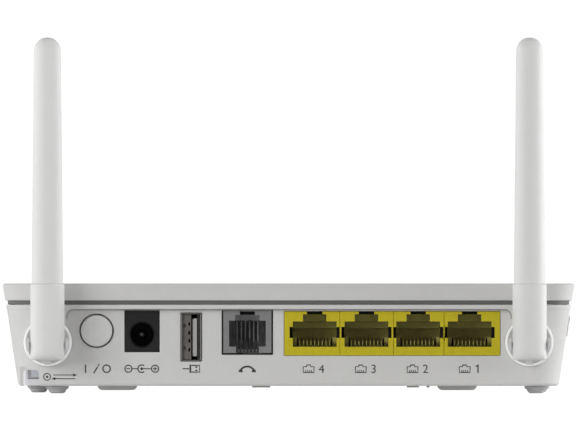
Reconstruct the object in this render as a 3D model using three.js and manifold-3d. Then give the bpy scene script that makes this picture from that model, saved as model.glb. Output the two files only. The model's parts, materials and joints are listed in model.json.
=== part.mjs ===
// Optical network terminal with two folding antennas.
// Millimetres, +Z up. The connector face looks toward -Y and the indicators are near +Y.
// The origin is under the middle of the whole object, at the level it stands on.
import * as THREE from 'three';
import { mergeVertices } from 'three/addons/utils/BufferGeometryUtils.js';
import Module from 'manifold-3d';

const wasm = await Module();
wasm.setup();

// Housing
const HALF_WIDTH = 77.4;
const DEPTH = 120;
const REAR = -55.3;
const FRONT = REAR + DEPTH;
const CORNER = 8;
const INNER_CORNER = 6;
const BASE_BOTTOM = 2;
const BASE_TOP = 24;
const LID_BOTTOM = 25.1;
const LID_TOP = 29.7;
const INSET_BOTTOM = 4.2;
const INSET_TOP = 1;
const TAPER = (INSET_BOTTOM - INSET_TOP) / (BASE_TOP - BASE_BOTTOM);
const WALL = 2;
const FLOOR_TOP = 3.8;
const LID_PLATE = 1.8;

// Recessed connector panel
const PANEL = REAR + 3.4;
const PANEL_BACK = REAR + 5.9;
const PANEL_LEFT = -60.1;
const PANEL_RIGHT = 60.4;
const PANEL_TOP = 22.8;

// Circuit board
const BOARD_BOTTOM = 6.7;
const BOARD_TOP = 8.3;
const ON_BOARD = BOARD_TOP + 0.15;

// Antennas
const HUB_X = 65.1;
const HUB_Z = 13.84;
const PIVOT_Y = REAR - 4.9;
const PIVOT_Z = 12.9;
const HUB_RADIUS = 6.55;
const SLEEVE_BOTTOM = 9.05;
const SLEEVE_TOP = 29.5;
const BLADE_TOP = 96.1;

// Fits
const GAP = 0.3;
const SNUG = 0.15;

const root = new THREE.Group();
root.name = 'optical_network_terminal';

const FINISH = {
  white_plastic: { color: 0xe6e7e9, roughness: 0.45, metalness: 0 },
  grey_plastic: { color: 0x9a9c9f, roughness: 0.5, metalness: 0 },
  grey_jack: { color: 0x8a8b8c, roughness: 0.5, metalness: 0 },
  black_plastic: { color: 0x1c1c1e, roughness: 0.5, metalness: 0 },
  yellow_plastic: { color: 0xd2bf1c, roughness: 0.45, metalness: 0 },
  pale_plastic: { color: 0xc8c8ce, roughness: 0.45, metalness: 0 },
  clear_plastic: { color: 0xcfd8dc, roughness: 0.2, metalness: 0 },
  rubber: { color: 0xb9babd, roughness: 0.9, metalness: 0 },
  steel: { color: 0xb8babd, roughness: 0.3, metalness: 1 },
  gold: { color: 0xd8b25a, roughness: 0.25, metalness: 1 },
  contact_nickel: { color: 0xa8a8a8, roughness: 0.3, metalness: 1 },
  aluminium: { color: 0xa9adb1, roughness: 0.4, metalness: 1 },
  board: { color: 0x1f6b3a, roughness: 0.6, metalness: 0 },
  chip: { color: 0x26272a, roughness: 0.55, metalness: 0 },
};

// ---- Solids ----

function solid(geometry) {
  const bare = geometry.clone();
  bare.deleteAttribute('normal');
  bare.deleteAttribute('uv');
  const merged = mergeVertices(bare, 1e-5);
  return new wasm.Manifold(new wasm.Mesh({
    numProp: 3,
    vertProperties: Float32Array.from(merged.attributes.position.array),
    triVerts: Uint32Array.from(merged.index.array),
  }));
}

function add(name, finish, manifold) {
  const made = manifold.getMesh();
  const geometry = new THREE.BufferGeometry();
  geometry.setAttribute('position', new THREE.BufferAttribute(Float32Array.from(made.vertProperties), 3));
  geometry.setIndex(new THREE.BufferAttribute(Uint32Array.from(made.triVerts), 1));
  geometry.computeVertexNormals();
  const mesh = new THREE.Mesh(geometry, new THREE.MeshStandardMaterial(FINISH[finish]));
  mesh.name = name;
  root.add(mesh);
}

function join(solids) {
  return solids.reduce((whole, next) => whole.add(next));
}

function cut(whole, tools) {
  return tools.reduce((left, tool) => left.subtract(tool), whole);
}

function box(x0, x1, y0, y1, z0, z1) {
  const geometry = new THREE.BoxGeometry(x1 - x0, y1 - y0, z1 - z0);
  geometry.translate((x0 + x1) / 2, (y0 + y1) / 2, (z0 + z1) / 2);
  return solid(geometry);
}

function rodY(x, z, radius, y0, y1, sides = 28) {
  const geometry = new THREE.CylinderGeometry(radius, radius, y1 - y0, sides);
  geometry.translate(x, (y0 + y1) / 2, z);
  return solid(geometry);
}

function rodX(y, z, radius, x0, x1, sides = 24) {
  const geometry = new THREE.CylinderGeometry(radius, radius, x1 - x0, sides);
  geometry.rotateZ(Math.PI / 2);
  geometry.translate((x0 + x1) / 2, y, z);
  return solid(geometry);
}

function rodZ(x, y, radius, z0, z1, sides = 24, topRadius = radius) {
  const geometry = new THREE.CylinderGeometry(topRadius, radius, z1 - z0, sides);
  geometry.rotateX(Math.PI / 2);
  geometry.translate(x, y, (z0 + z1) / 2);
  return solid(geometry);
}

function roundedShape(u0, u1, v0, v1, radius) {
  const shape = new THREE.Shape();
  const r = Math.max(radius, 1e-3);
  shape.absarc(u1 - r, v0 + r, r, -Math.PI / 2, 0);
  shape.absarc(u1 - r, v1 - r, r, 0, Math.PI / 2);
  shape.absarc(u0 + r, v1 - r, r, Math.PI / 2, Math.PI);
  shape.absarc(u0 + r, v0 + r, r, Math.PI, 1.5 * Math.PI);
  shape.closePath();
  return shape;
}

function polygonShape(points) {
  return new THREE.Shape(points.map(([u, v]) => new THREE.Vector2(u, v)));
}

// An outline in X and Z, carried along Y.
function slabY(shape, y0, y1, segments = 5) {
  const geometry = new THREE.ExtrudeGeometry(shape, {
    depth: y1 - y0,
    bevelEnabled: false,
    curveSegments: segments,
  });
  geometry.rotateX(Math.PI / 2);
  geometry.translate(0, y1, 0);
  return solid(geometry);
}

// An outline in Y and Z, carried along X.
function slabX(shape, x0, x1, segments = 5) {
  const geometry = new THREE.ExtrudeGeometry(shape, {
    depth: x1 - x0,
    bevelEnabled: false,
    curveSegments: segments,
  });
  const toX = new THREE.Matrix4().makeBasis(
    new THREE.Vector3(0, 1, 0),
    new THREE.Vector3(0, 0, 1),
    new THREE.Vector3(1, 0, 0),
  );
  geometry.applyMatrix4(toX);
  geometry.translate(x0, 0, 0);
  return solid(geometry);
}

// An outline in X and Y, carried along Z.
function slabZ(shape, z0, z1, segments = 5) {
  const geometry = new THREE.ExtrudeGeometry(shape, {
    depth: z1 - z0,
    bevelEnabled: false,
    curveSegments: segments,
  });
  geometry.translate(0, 0, z0);
  return solid(geometry);
}

// Rings of equal count, from the lowest to the highest, joined into one closed skin.
function loft(rings) {
  const count = rings[0].length;
  const positions = [];
  const index = [];
  for (const ring of rings) {
    for (const point of ring) positions.push(point.x, point.y, point.z);
  }
  for (let level = 0; level < rings.length - 1; level += 1) {
    for (let j = 0; j < count; j += 1) {
      const a = level * count + j;
      const b = level * count + ((j + 1) % count);
      index.push(a, b, b + count, a, b + count, a + count);
    }
  }
  const caps = [rings[0], rings[rings.length - 1]];
  caps.forEach((ring, side) => {
    const centre = ring.reduce((sum, p) => sum.add(p), new THREE.Vector3()).divideScalar(count);
    positions.push(centre.x, centre.y, centre.z);
    const hub = rings.length * count + side;
    const start = side === 0 ? 0 : (rings.length - 1) * count;
    for (let j = 0; j < count; j += 1) {
      const a = start + j;
      const b = start + ((j + 1) % count);
      if (side === 0) index.push(hub, b, a);
      else index.push(hub, a, b);
    }
  });
  const geometry = new THREE.BufferGeometry();
  geometry.setAttribute('position', new THREE.Float32BufferAttribute(positions, 3));
  geometry.setIndex(index);
  return solid(geometry);
}

function roundedRing(x0, x1, y0, y1, radius, z, steps = 5) {
  const corners = [
    [x1 - radius, y0 + radius, -0.5],
    [x1 - radius, y1 - radius, 0],
    [x0 + radius, y1 - radius, 0.5],
    [x0 + radius, y0 + radius, 1],
  ];
  const ring = [];
  for (const [cx, cy, turn] of corners) {
    for (let i = 0; i <= steps; i += 1) {
      const angle = Math.PI * (turn + (0.5 * i) / steps);
      ring.push(new THREE.Vector3(cx + radius * Math.cos(angle), cy + radius * Math.sin(angle), z));
    }
  }
  return ring;
}

// A soft-cornered oval section, squarer than an ellipse.
function ovalRing(cx, cy, halfWidth, halfDepth, z, sides = 32, power = 2.25) {
  const ring = [];
  for (let j = 0; j < sides; j += 1) {
    const angle = (2 * Math.PI * j) / sides;
    const c = Math.cos(angle);
    const s = Math.sin(angle);
    const x = Math.sign(c) * Math.abs(c) ** (2 / power) * halfWidth;
    const y = Math.sign(s) * Math.abs(s) ** (2 / power) * halfDepth;
    ring.push(new THREE.Vector3(cx + x, cy + y, z));
  }
  return ring;
}

function housingRing(inset, z, radius = CORNER) {
  return roundedRing(
    -HALF_WIDTH + inset,
    HALF_WIDTH - inset,
    REAR + inset,
    FRONT - inset,
    radius,
    z,
  );
}

function insetAt(z) {
  return INSET_BOTTOM - (z - BASE_BOTTOM) * TAPER;
}

// The tray's outer skin, pushed outward by `out` on every side.
function traySkin(out = 0) {
  return loft([
    housingRing(insetAt(BASE_BOTTOM) + 0.6 - out, BASE_BOTTOM),
    housingRing(insetAt(BASE_BOTTOM + 0.6) - out, BASE_BOTTOM + 0.6),
    housingRing(insetAt(BASE_TOP - 1.2) - out, BASE_TOP - 1.2),
    housingRing(insetAt(BASE_TOP - 1.1) - 0.15 - out, BASE_TOP - 1.1),
    housingRing(INSET_TOP - 0.1 - out, BASE_TOP),
  ]);
}

// ---- Places shared by several pieces ----

const SCREW_X = 50;
const SCREW_REAR_Y = REAR + 40;
const SCREW_FRONT_Y = REAR + 108;
const SCREWS = [
  [-SCREW_X, SCREW_REAR_Y],
  [SCREW_X, SCREW_REAR_Y],
  [-SCREW_X, SCREW_FRONT_Y],
  [SCREW_X, SCREW_FRONT_Y],
];
const BOARD_SCREWS = [[-20, REAR + 66], [44, REAR + 92]];
const FEET = {
  rear_left: [-62.6, REAR + 10.5],
  rear_right: [67, REAR + 10.5],
  front_left: [-69, REAR + 110],
  front_right: [69, REAR + 110],
};

// Round power button
const POWER_X = -51.9;
const POWER_Z = 16.9;
const POWER_HOLE = 4.625;
const POWER_CAP = 4.25;
const POWER_TRAVEL = 2;

// Side buttons on the right wall, and the pinhole
const SIDE_Z0 = 15.4;
const SIDE_Z1 = 20.9;
const SIDE_LENGTH = 12;
const SIDE_TRAVEL = 0.5;
const SIDE_BUTTONS = { wlan: REAR + 32, wps: REAR + 52 };
const RESET_Y = REAR + 70;
const RESET_Z = 17;

// Connectors: left, right, bottom and top of each face
const DC = [-44.3, -34.9, 11.2, 22.6];
const USB = [-29.08, -23.52, 8.7, 21.75];
const TEL = [-17.95, -4.25, 10.5, 22.6];
const LAN = [-1.13, 57.2, 10.2, 22.4];
const LAN_CENTRES = [7.1, 21.1, 35.1, 49];

// Fibre slot and compartment under the left side
const SLOT_LEFT = -71.7;
const SLOT_RIGHT = -67.5;
const SLOT_TOP = 6.35;
const BAY_RIGHT = -58;
const BAY_TOP = 13.5;
const BAY_START = REAR + 16;
const BAY_END = REAR + 66;
const ADAPTER = [-71.25, -58.45, 3.95, 13.25];
const ADAPTER_START = REAR + 56;
const ADAPTER_END = REAR + 82;

// Indicator windows near the front edge of the lid
const LIGHTS = 8;
const LIGHT_PITCH = 8;
const LIGHT_Y = FRONT - 11;

// ---- Lid ----
{
  const plate = loft([
    housingRing(0.7, LID_BOTTOM),
    housingRing(0.05, LID_TOP - 0.6),
    housingRing(0.16, LID_TOP - 0.2),
    housingRing(0.5, LID_TOP),
  ]);
  const neck = loft([housingRing(1.4, BASE_TOP + 0.15, CORNER - 1), housingRing(1.4, LID_BOTTOM + 0.5, CORNER - 1)]);
  const lipBack = PANEL_BACK + GAP;
  const lipOuter = loft([
    roundedRing(-74, 74, lipBack, FRONT - 3.4, INNER_CORNER - 0.2, BASE_TOP - 1),
    roundedRing(-74, 74, lipBack, FRONT - 3.4, INNER_CORNER - 0.2, BASE_TOP + 0.4),
  ]);
  const hollow = loft([
    roundedRing(-72.6, 72.6, lipBack + 1.4, FRONT - 4.8, INNER_CORNER - 1.4, BASE_TOP - 2),
    roundedRing(-72.6, 72.6, lipBack + 1.4, FRONT - 4.8, INNER_CORNER - 1.4, LID_TOP - LID_PLATE),
  ]);
  const bosses = SCREWS.map(([x, y]) => rodZ(x, y, 3.1, 5.2, LID_TOP - 1, 20));
  const holes = SCREWS.map(([x, y]) => rodZ(x, y, 1.6, 5, 17, 16));
  const windows = [];
  for (let i = 0; i < LIGHTS; i += 1) {
    const x = (i - (LIGHTS - 1) / 2) * LIGHT_PITCH;
    windows.push(box(x - 1.65, x + 1.65, LIGHT_Y - 0.75, LIGHT_Y + 0.75, 26, LID_TOP + 1));
  }
  const shell = join([plate, neck, lipOuter]).subtract(hollow);
  add('top_cover', 'white_plastic', cut(join([shell, ...bosses]), [...holes, ...windows]));

  const pipe = box(-32, 32, LIGHT_Y - 2, LIGHT_Y + 2, 26.1, LID_TOP - LID_PLATE - 0.1);
  const pips = [];
  for (let i = 0; i < LIGHTS; i += 1) {
    const x = (i - (LIGHTS - 1) / 2) * LIGHT_PITCH;
    pips.push(box(x - 1.5, x + 1.5, LIGHT_Y - 0.6, LIGHT_Y + 0.6, 27, LID_TOP - 0.05));
  }
  add('led_light_pipe', 'clear_plastic', join([pipe, ...pips]));
}

// ---- Tray ----
{
  const cavity = loft([
    roundedRing(-HALF_WIDTH + insetAt(FLOOR_TOP) + WALL, HALF_WIDTH - insetAt(FLOOR_TOP) - WALL,
      PANEL_BACK, FRONT - insetAt(FLOOR_TOP) - WALL, INNER_CORNER, FLOOR_TOP),
    roundedRing(-HALF_WIDTH + INSET_TOP + WALL, HALF_WIDTH - INSET_TOP - WALL,
      PANEL_BACK, FRONT - INSET_TOP - WALL, INNER_CORNER, BASE_TOP + 0.2),
  ]);
  const pads = [-46, 46].map((x) => loft([
    roundedRing(x - 5.4, x + 5.4, 18, 38, 2, 0.7, 3),
    roundedRing(x - 5.75, x + 5.75, 17.65, 38.35, 2, BASE_BOTTOM + 0.2, 3),
  ]));
  const ribs = [[-9.9, -5], [32.3, 35.5], [37.7, 38.4]].map(([x0, x1]) => (
    box(x0, x1, -20, 0, 1.5, BASE_BOTTOM + 0.2)
  ));
  const bayWalls = box(SLOT_LEFT - 1, BAY_RIGHT + 1.4, BAY_START - 1.4, BAY_END + 2, BASE_BOTTOM + 0.5, BAY_TOP + 1.4);
  const slotWalls = box(SLOT_LEFT - 1, SLOT_RIGHT + 1, PANEL_BACK - 0.5, BAY_START, BASE_BOTTOM + 0.5, SLOT_TOP + 0.9);
  const inSkin = traySkin().intersect(join([bayWalls, slotWalls]));
  const posts = BOARD_SCREWS.map(([x, y]) => rodZ(x, y, 3, FLOOR_TOP - 0.5, BOARD_BOTTOM - 0.15, 20));
  const sockets = SCREWS.map(([x, y]) => rodZ(x, y, 3.6, FLOOR_TOP - 0.5, 5, 20));
  const shell = join([traySkin().subtract(cavity), inSkin, ...pads, ...ribs, ...posts, ...sockets]);

  const tools = [];
  // Panel recess and connector openings
  tools.push(slabY(roundedShape(PANEL_LEFT, PANEL_RIGHT, 6.5, PANEL_TOP, 1.5), REAR - 1, PANEL));
  for (const [x0, x1, z0, z1] of [DC, USB, TEL, LAN]) {
    tools.push(box(x0 - SNUG, x1 + SNUG, REAR, PANEL_BACK + 1, z0 - SNUG, z1 + SNUG));
  }
  tools.push(rodY(POWER_X, POWER_Z, POWER_HOLE, REAR, PANEL_BACK + 1, 40));
  // Stepped bores for the antenna hubs
  for (const side of [-1, 1]) {
    tools.push(rodY(side * HUB_X, HUB_Z, HUB_RADIUS + GAP, REAR - 1, REAR + 4.6, 48));
    tools.push(rodY(side * HUB_X, HUB_Z, 5.25, REAR, PANEL_BACK + 1, 36));
    tools.push(rodY(side * HUB_X, HUB_Z, 6.5, PANEL_BACK, PANEL_BACK + 4, 32));
  }
  // Fibre slot, its channel and the compartment
  tools.push(slabY(roundedShape(SLOT_LEFT, SLOT_RIGHT, 0, SLOT_TOP, 1), REAR - 1, BAY_START + 1));
  tools.push(box(SLOT_LEFT, BAY_RIGHT, BAY_START, BAY_END, 0, BAY_TOP));
  tools.push(box(ADAPTER[0] - SNUG, ADAPTER[1] + SNUG, BAY_END - 1, BAY_END + 3, ADAPTER[2] - SNUG, ADAPTER[3] + SNUG));
  // Side buttons and pinhole
  for (const y of Object.values(SIDE_BUTTONS)) {
    const hole = roundedShape(y - SIDE_LENGTH / 2 - GAP, y + SIDE_LENGTH / 2 + GAP, SIDE_Z0 - GAP, SIDE_Z1 + GAP, 1.6);
    tools.push(slabX(hole, 70, 80));
  }
  tools.push(rodX(RESET_Y, RESET_Z, 1.2, 70, 80, 20));
  // Screw wells, board screw holes, foot sockets, keyholes and vents
  for (const [x, y] of SCREWS) {
    tools.push(rodZ(x, y, 2.9, 0, 3.4, 20));
    tools.push(rodZ(x, y, 1.6, 0, 6, 16));
  }
  for (const [x, y] of BOARD_SCREWS) tools.push(rodZ(x, y, 1.3, 4.4, 8, 16));
  for (const [x, y] of Object.values(FEET)) tools.push(rodZ(x, y, 1.8, 0, 5, 16));
  for (const x of [-46, 46]) {
    tools.push(rodZ(x, 24, 4, 0, 5, 24));
    tools.push(box(x - 2.1, x + 2.1, 24, 33, 0, 5));
  }
  for (let row = 0; row < 2; row += 1) {
    for (let i = 0; i < 9; i += 1) {
      const x = (i - 4) * 6 + 12.4;
      tools.push(box(x - 0.9, x + 0.9, 4 + row * 22, 22 + row * 22, 0, 5));
    }
  }
  add('bottom_shell', 'white_plastic', cut(shell, tools));
}

// ---- Fasteners and feet ----
SCREWS.forEach(([x, y], i) => {
  const head = rodZ(x, y, 2.5, 2.2, 3.3, 20);
  const thread = rodZ(x, y, 1.3, 3, 15, 14);
  const cross = join([box(x - 1.4, x + 1.4, y - 0.25, y + 0.25, 2, 2.9), box(x - 0.25, x + 0.25, y - 1.4, y + 1.4, 2, 2.9)]);
  add(`case_screw_${i + 1}`, 'steel', join([head, thread]).subtract(cross));
});

BOARD_SCREWS.forEach(([x, y], i) => {
  const head = rodZ(x, y, 2.6, BOARD_TOP + 0.1, BOARD_TOP + 1.6, 20, 2.2);
  const thread = rodZ(x, y, 1, 4.8, BOARD_TOP + 0.5, 14);
  const cross = join([
    box(x - 1.3, x + 1.3, y - 0.25, y + 0.25, BOARD_TOP + 0.8, BOARD_TOP + 2),
    box(x - 0.25, x + 0.25, y - 1.3, y + 1.3, BOARD_TOP + 0.8, BOARD_TOP + 2),
  ]);
  add(`pcb_screw_${i + 1}`, 'steel', join([head, thread]).subtract(cross));
});

for (const [place, [x, y]] of Object.entries(FEET)) {
  const lower = rodZ(x, y, 2.1, 0, 0.4, 18, 2.3);
  const middle = rodZ(x, y, 2.3, 0.3, 1.3, 18);
  const upper = rodZ(x, y, 3.2, 1.2, BASE_BOTTOM - 0.05, 24);
  const stub = rodZ(x, y, 1.55, 1.5, 3.6, 12);
  add(`foot_${place}`, 'rubber', join([lower, middle, upper, stub]));
}

// ---- Power button and its switch ----
{
  const cap = rodY(POWER_X, POWER_Z, POWER_CAP, PANEL - 0.8, PANEL_BACK + 0.5, 40);
  const rim = rodY(POWER_X, POWER_Z, POWER_CAP - 0.25, PANEL - 1.1, PANEL - 0.7, 40);
  const flange = rodY(POWER_X, POWER_Z, 5.4, PANEL_BACK + GAP, PANEL_BACK + 1.5, 32);
  const stemY = PANEL_BACK + 7.5;
  const stem = box(POWER_X - 1.5, POWER_X + 1.5, PANEL_BACK + 1, stemY, POWER_Z - 1.5, POWER_Z + 1.5);
  add('power_button', 'grey_plastic', join([cap, rim, flange, stem]));

  const front = PANEL_BACK + 1.5 + POWER_TRAVEL + GAP;
  const body = box(POWER_X - 4.2, POWER_X + 4.2, front, front + 12, ON_BOARD, POWER_Z + 4.2);
  const bore = box(POWER_X - 1.8, POWER_X + 1.8, front - 1, stemY + POWER_TRAVEL + GAP, POWER_Z - 1.8, POWER_Z + 1.8);
  add('power_switch', 'black_plastic', body.subtract(bore));
}

// ---- Side buttons, reset button and their switches ----
{
  const proud = traySkin(0.6);
  for (const [name, y] of Object.entries(SIDE_BUTTONS)) {
    const outline = roundedShape(y - SIDE_LENGTH / 2, y + SIDE_LENGTH / 2, SIDE_Z0, SIDE_Z1, 1.4);
    const cap = slabX(outline, 71.4, 80).intersect(proud);
    const flangeShape = roundedShape(y - SIDE_LENGTH / 2 - 1, y + SIDE_LENGTH / 2 + 1, SIDE_Z0 - 1, SIDE_Z1 + 1, 1);
    const flange = slabX(flangeShape, 70.9, 72.1, 2);
    const leg = box(69.7, 71.4, y - 2, y + 2, 9.6, SIDE_Z1);
    add(`${name}_button`, 'white_plastic', join([cap, flange, leg]));
  }
  const pin = rodX(RESET_Y, RESET_Z, 0.9, 71, 74.2, 20);
  const pinFlange = rodX(RESET_Y, RESET_Z, 2.2, 70.9, 72.1, 20);
  const pinLeg = box(69.7, 71.4, RESET_Y - 1.5, RESET_Y + 1.5, 9.6, RESET_Z + 1.5);
  add('reset_button', 'grey_plastic', join([pin, pinFlange, pinLeg]));

  for (const [name, y] of [...Object.entries(SIDE_BUTTONS), ['reset', RESET_Y]]) {
    const body = box(63.5, 67.4, y - 3, y + 3, ON_BOARD, ON_BOARD + 4.4);
    const plunger = rodX(y, ON_BOARD + 2.3, 1.4, 67, 69.7 - SIDE_TRAVEL - 0.1, 16);
    add(`${name}_switch`, 'black_plastic', join([body, plunger]));
  }
}

// ---- Connectors ----
{
  const [x0, x1, z0, z1] = DC;
  const centre = (x0 + x1) / 2;
  const face = box(x0, x1, PANEL + 0.1, PANEL_BACK + 1, z0, z1);
  const block = box(x0, x1, PANEL_BACK + 0.2, PANEL + 14, ON_BOARD, z1);
  const bore = rodY(centre, 15.9, 3.15, REAR, PANEL + 10.5, 36);
  const pinHole = rodY(centre, 15.9, 1.15, PANEL + 10, PANEL + 15, 20);
  add('dc_jack_body', 'black_plastic', cut(join([face, block]), [bore, pinHole]));
  const tip = rodY(centre, 15.9, 0.6, PANEL + 1, PANEL + 1.5, 20);
  add('dc_jack_pin', 'steel', join([rodY(centre, 15.9, 1, PANEL + 1.4, PANEL + 14.6, 20), tip]));
}
{
  const [x0, x1, z0, z1] = USB;
  const skin = 0.35;
  const front = PANEL - 0.3;
  const shell = box(x0, x1, front, front + 17.5, z0, z1);
  const inside = box(x0 + skin, x1 - skin, front - 1, front + 19, z0 + skin, z1 - skin);
  add('usb_shell', 'steel', shell.subtract(inside));
  const block = box(x0 + skin + 0.1, x1 - skin - 0.1, front + 11, front + 17.4, z0 + skin + 0.1, z1 - skin - 0.1);
  const tongue = box(-25.95, -24.75, front + 1.2, front + 12, 10, 20.3);
  add('usb_tongue', 'white_plastic', join([block, tongue]));
}
{
  const [x0, x1, z0, z1] = TEL;
  const centre = -11.1;
  const front = PANEL - 0.15;
  const face = box(x0, x1, front, PANEL_BACK + 1, z0, z1);
  const block = box(x0, x1, PANEL_BACK + 0.2, front + 15, ON_BOARD, z1);
  const openings = [
    box(centre - 4.975, centre + 4.975, front - 1, front + 12, 12.65, 19.65),
    box(centre - 3.35, centre + 3.35, front - 1, front + 8, 19, 21.2),
    box(centre - 2, centre + 2, front - 1, front + 6.5, 21, 22.1),
    box(centre - 3.1, centre + 3.1, front - 1, front + 12, 10.95, 13),
  ];
  add('tel_jack_body', 'grey_jack', cut(join([face, block]), openings));
  const wires = [];
  for (let i = 0; i < 4; i += 1) {
    const x = centre + (i - 1.5) * 1.02;
    const run = polygonShape([
      [front + 1, 11.2],
      [front + 1.4, 11.2],
      [front + 10.5, 13.2],
      [front + 10.5, 13.6],
      [front + 1, 11.6],
    ]);
    wires.push(slabX(run, x - 0.24, x + 0.24));
  }
  wires.push(box(centre - 2.6, centre + 2.6, front + 10.3, front + 11.2, 12.9, 13.8));
  add('tel_contacts', 'contact_nickel', join(wires));
}
{
  const [x0, x1, z0, z1] = LAN;
  const front = PANEL - 0.15;
  const face = box(x0, x1, front, PANEL_BACK + 1, z0, z1);
  const block = box(x0, x1, PANEL_BACK + 0.2, front + 17, ON_BOARD, z1);
  const openings = [];
  LAN_CENTRES.forEach((centre, i) => {
    openings.push(box(centre - 5.9, centre + 5.9, front - 1, front + 13, 12.6, 19.4));
    openings.push(box(centre - 6.35, centre + 6.35, front - 1, front + 9, 14.8, 17.7));
    openings.push(box(centre - 3.15, centre + 3.15, front - 1, front + 9, 19, 21.35));
    openings.push(box(centre - 2.05, centre + 2.05, front - 1, front + 7, 21, 21.95));
    const wires = [];
    for (let k = 0; k < 8; k += 1) {
      const x = centre + (k - 3.5) * 1.02;
      const run = polygonShape([
        [front + 1.2, 12.75],
        [front + 1.8, 12.75],
        [front + 10.5, 14.9],
        [front + 10.5, 15.3],
        [front + 1.2, 13.15],
      ]);
      wires.push(slabX(run, x - 0.23, x + 0.23));
    }
    wires.push(box(centre - 4.2, centre + 4.2, front + 10.3, front + 11.5, 12.75, 15.6));
    add(`lan_contacts_${LAN_CENTRES.length - i}`, 'gold', join(wires));
  });
  add('lan_jack_block', 'yellow_plastic', cut(join([face, block]), openings));
}

// ---- Fibre adapter, dust cap and transceiver ----
{
  const [x0, x1, z0, z1] = ADAPTER;
  const cx = (x0 + x1) / 2;
  const cz = (z0 + z1) / 2;
  const body = box(x0, x1, ADAPTER_START, ADAPTER_END, z0, z1);
  const mouth = box(cx - 4.6, cx + 4.6, ADAPTER_START - 1, ADAPTER_START + 11, cz - 3.8, cz + 3.8);
  const rear = box(cx - 4.6, cx + 4.6, ADAPTER_END - 11, ADAPTER_END + 1, cz - 3.8, cz + 3.8);
  const sleeve = rodY(cx, cz, 1.4, ADAPTER_START, ADAPTER_END, 20);
  add('optical_adapter', 'pale_plastic', cut(body, [mouth, rear, sleeve]));
  const plug = box(cx - 4.3, cx + 4.3, ADAPTER_START - 3, ADAPTER_START + 10, cz - 3.5, cz + 3.5);
  const grip = box(cx - 5.5, cx + 5.5, ADAPTER_START - 5, ADAPTER_START - 2, cz - 4.3, cz + 4.3);
  add('optical_dust_cap', 'clear_plastic', join([plug, grip]));
  const nose = rodY(cx, cz, 3.4, ADAPTER_END - 9, ADAPTER_END + 2, 24);
  const ferrule = rodY(cx, cz, 1.25, ADAPTER_END - 14, ADAPTER_END, 20);
  const can = box(cx - 5.5, cx + 5.5, ADAPTER_END + 0.4, ADAPTER_END + 16, cz - 3.5, cz + 3.8);
  const leads = [-1.5, 0.5, 2.5, 4.5].map((dy) => (
    box(cx + 5, -55.2, ADAPTER_END + 8 + dy, ADAPTER_END + 8.5 + dy, BOARD_TOP + 0.15, BOARD_TOP + 0.65)
  ));
  add('optical_module', 'aluminium', join([nose, ferrule, can, ...leads]));
}

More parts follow.
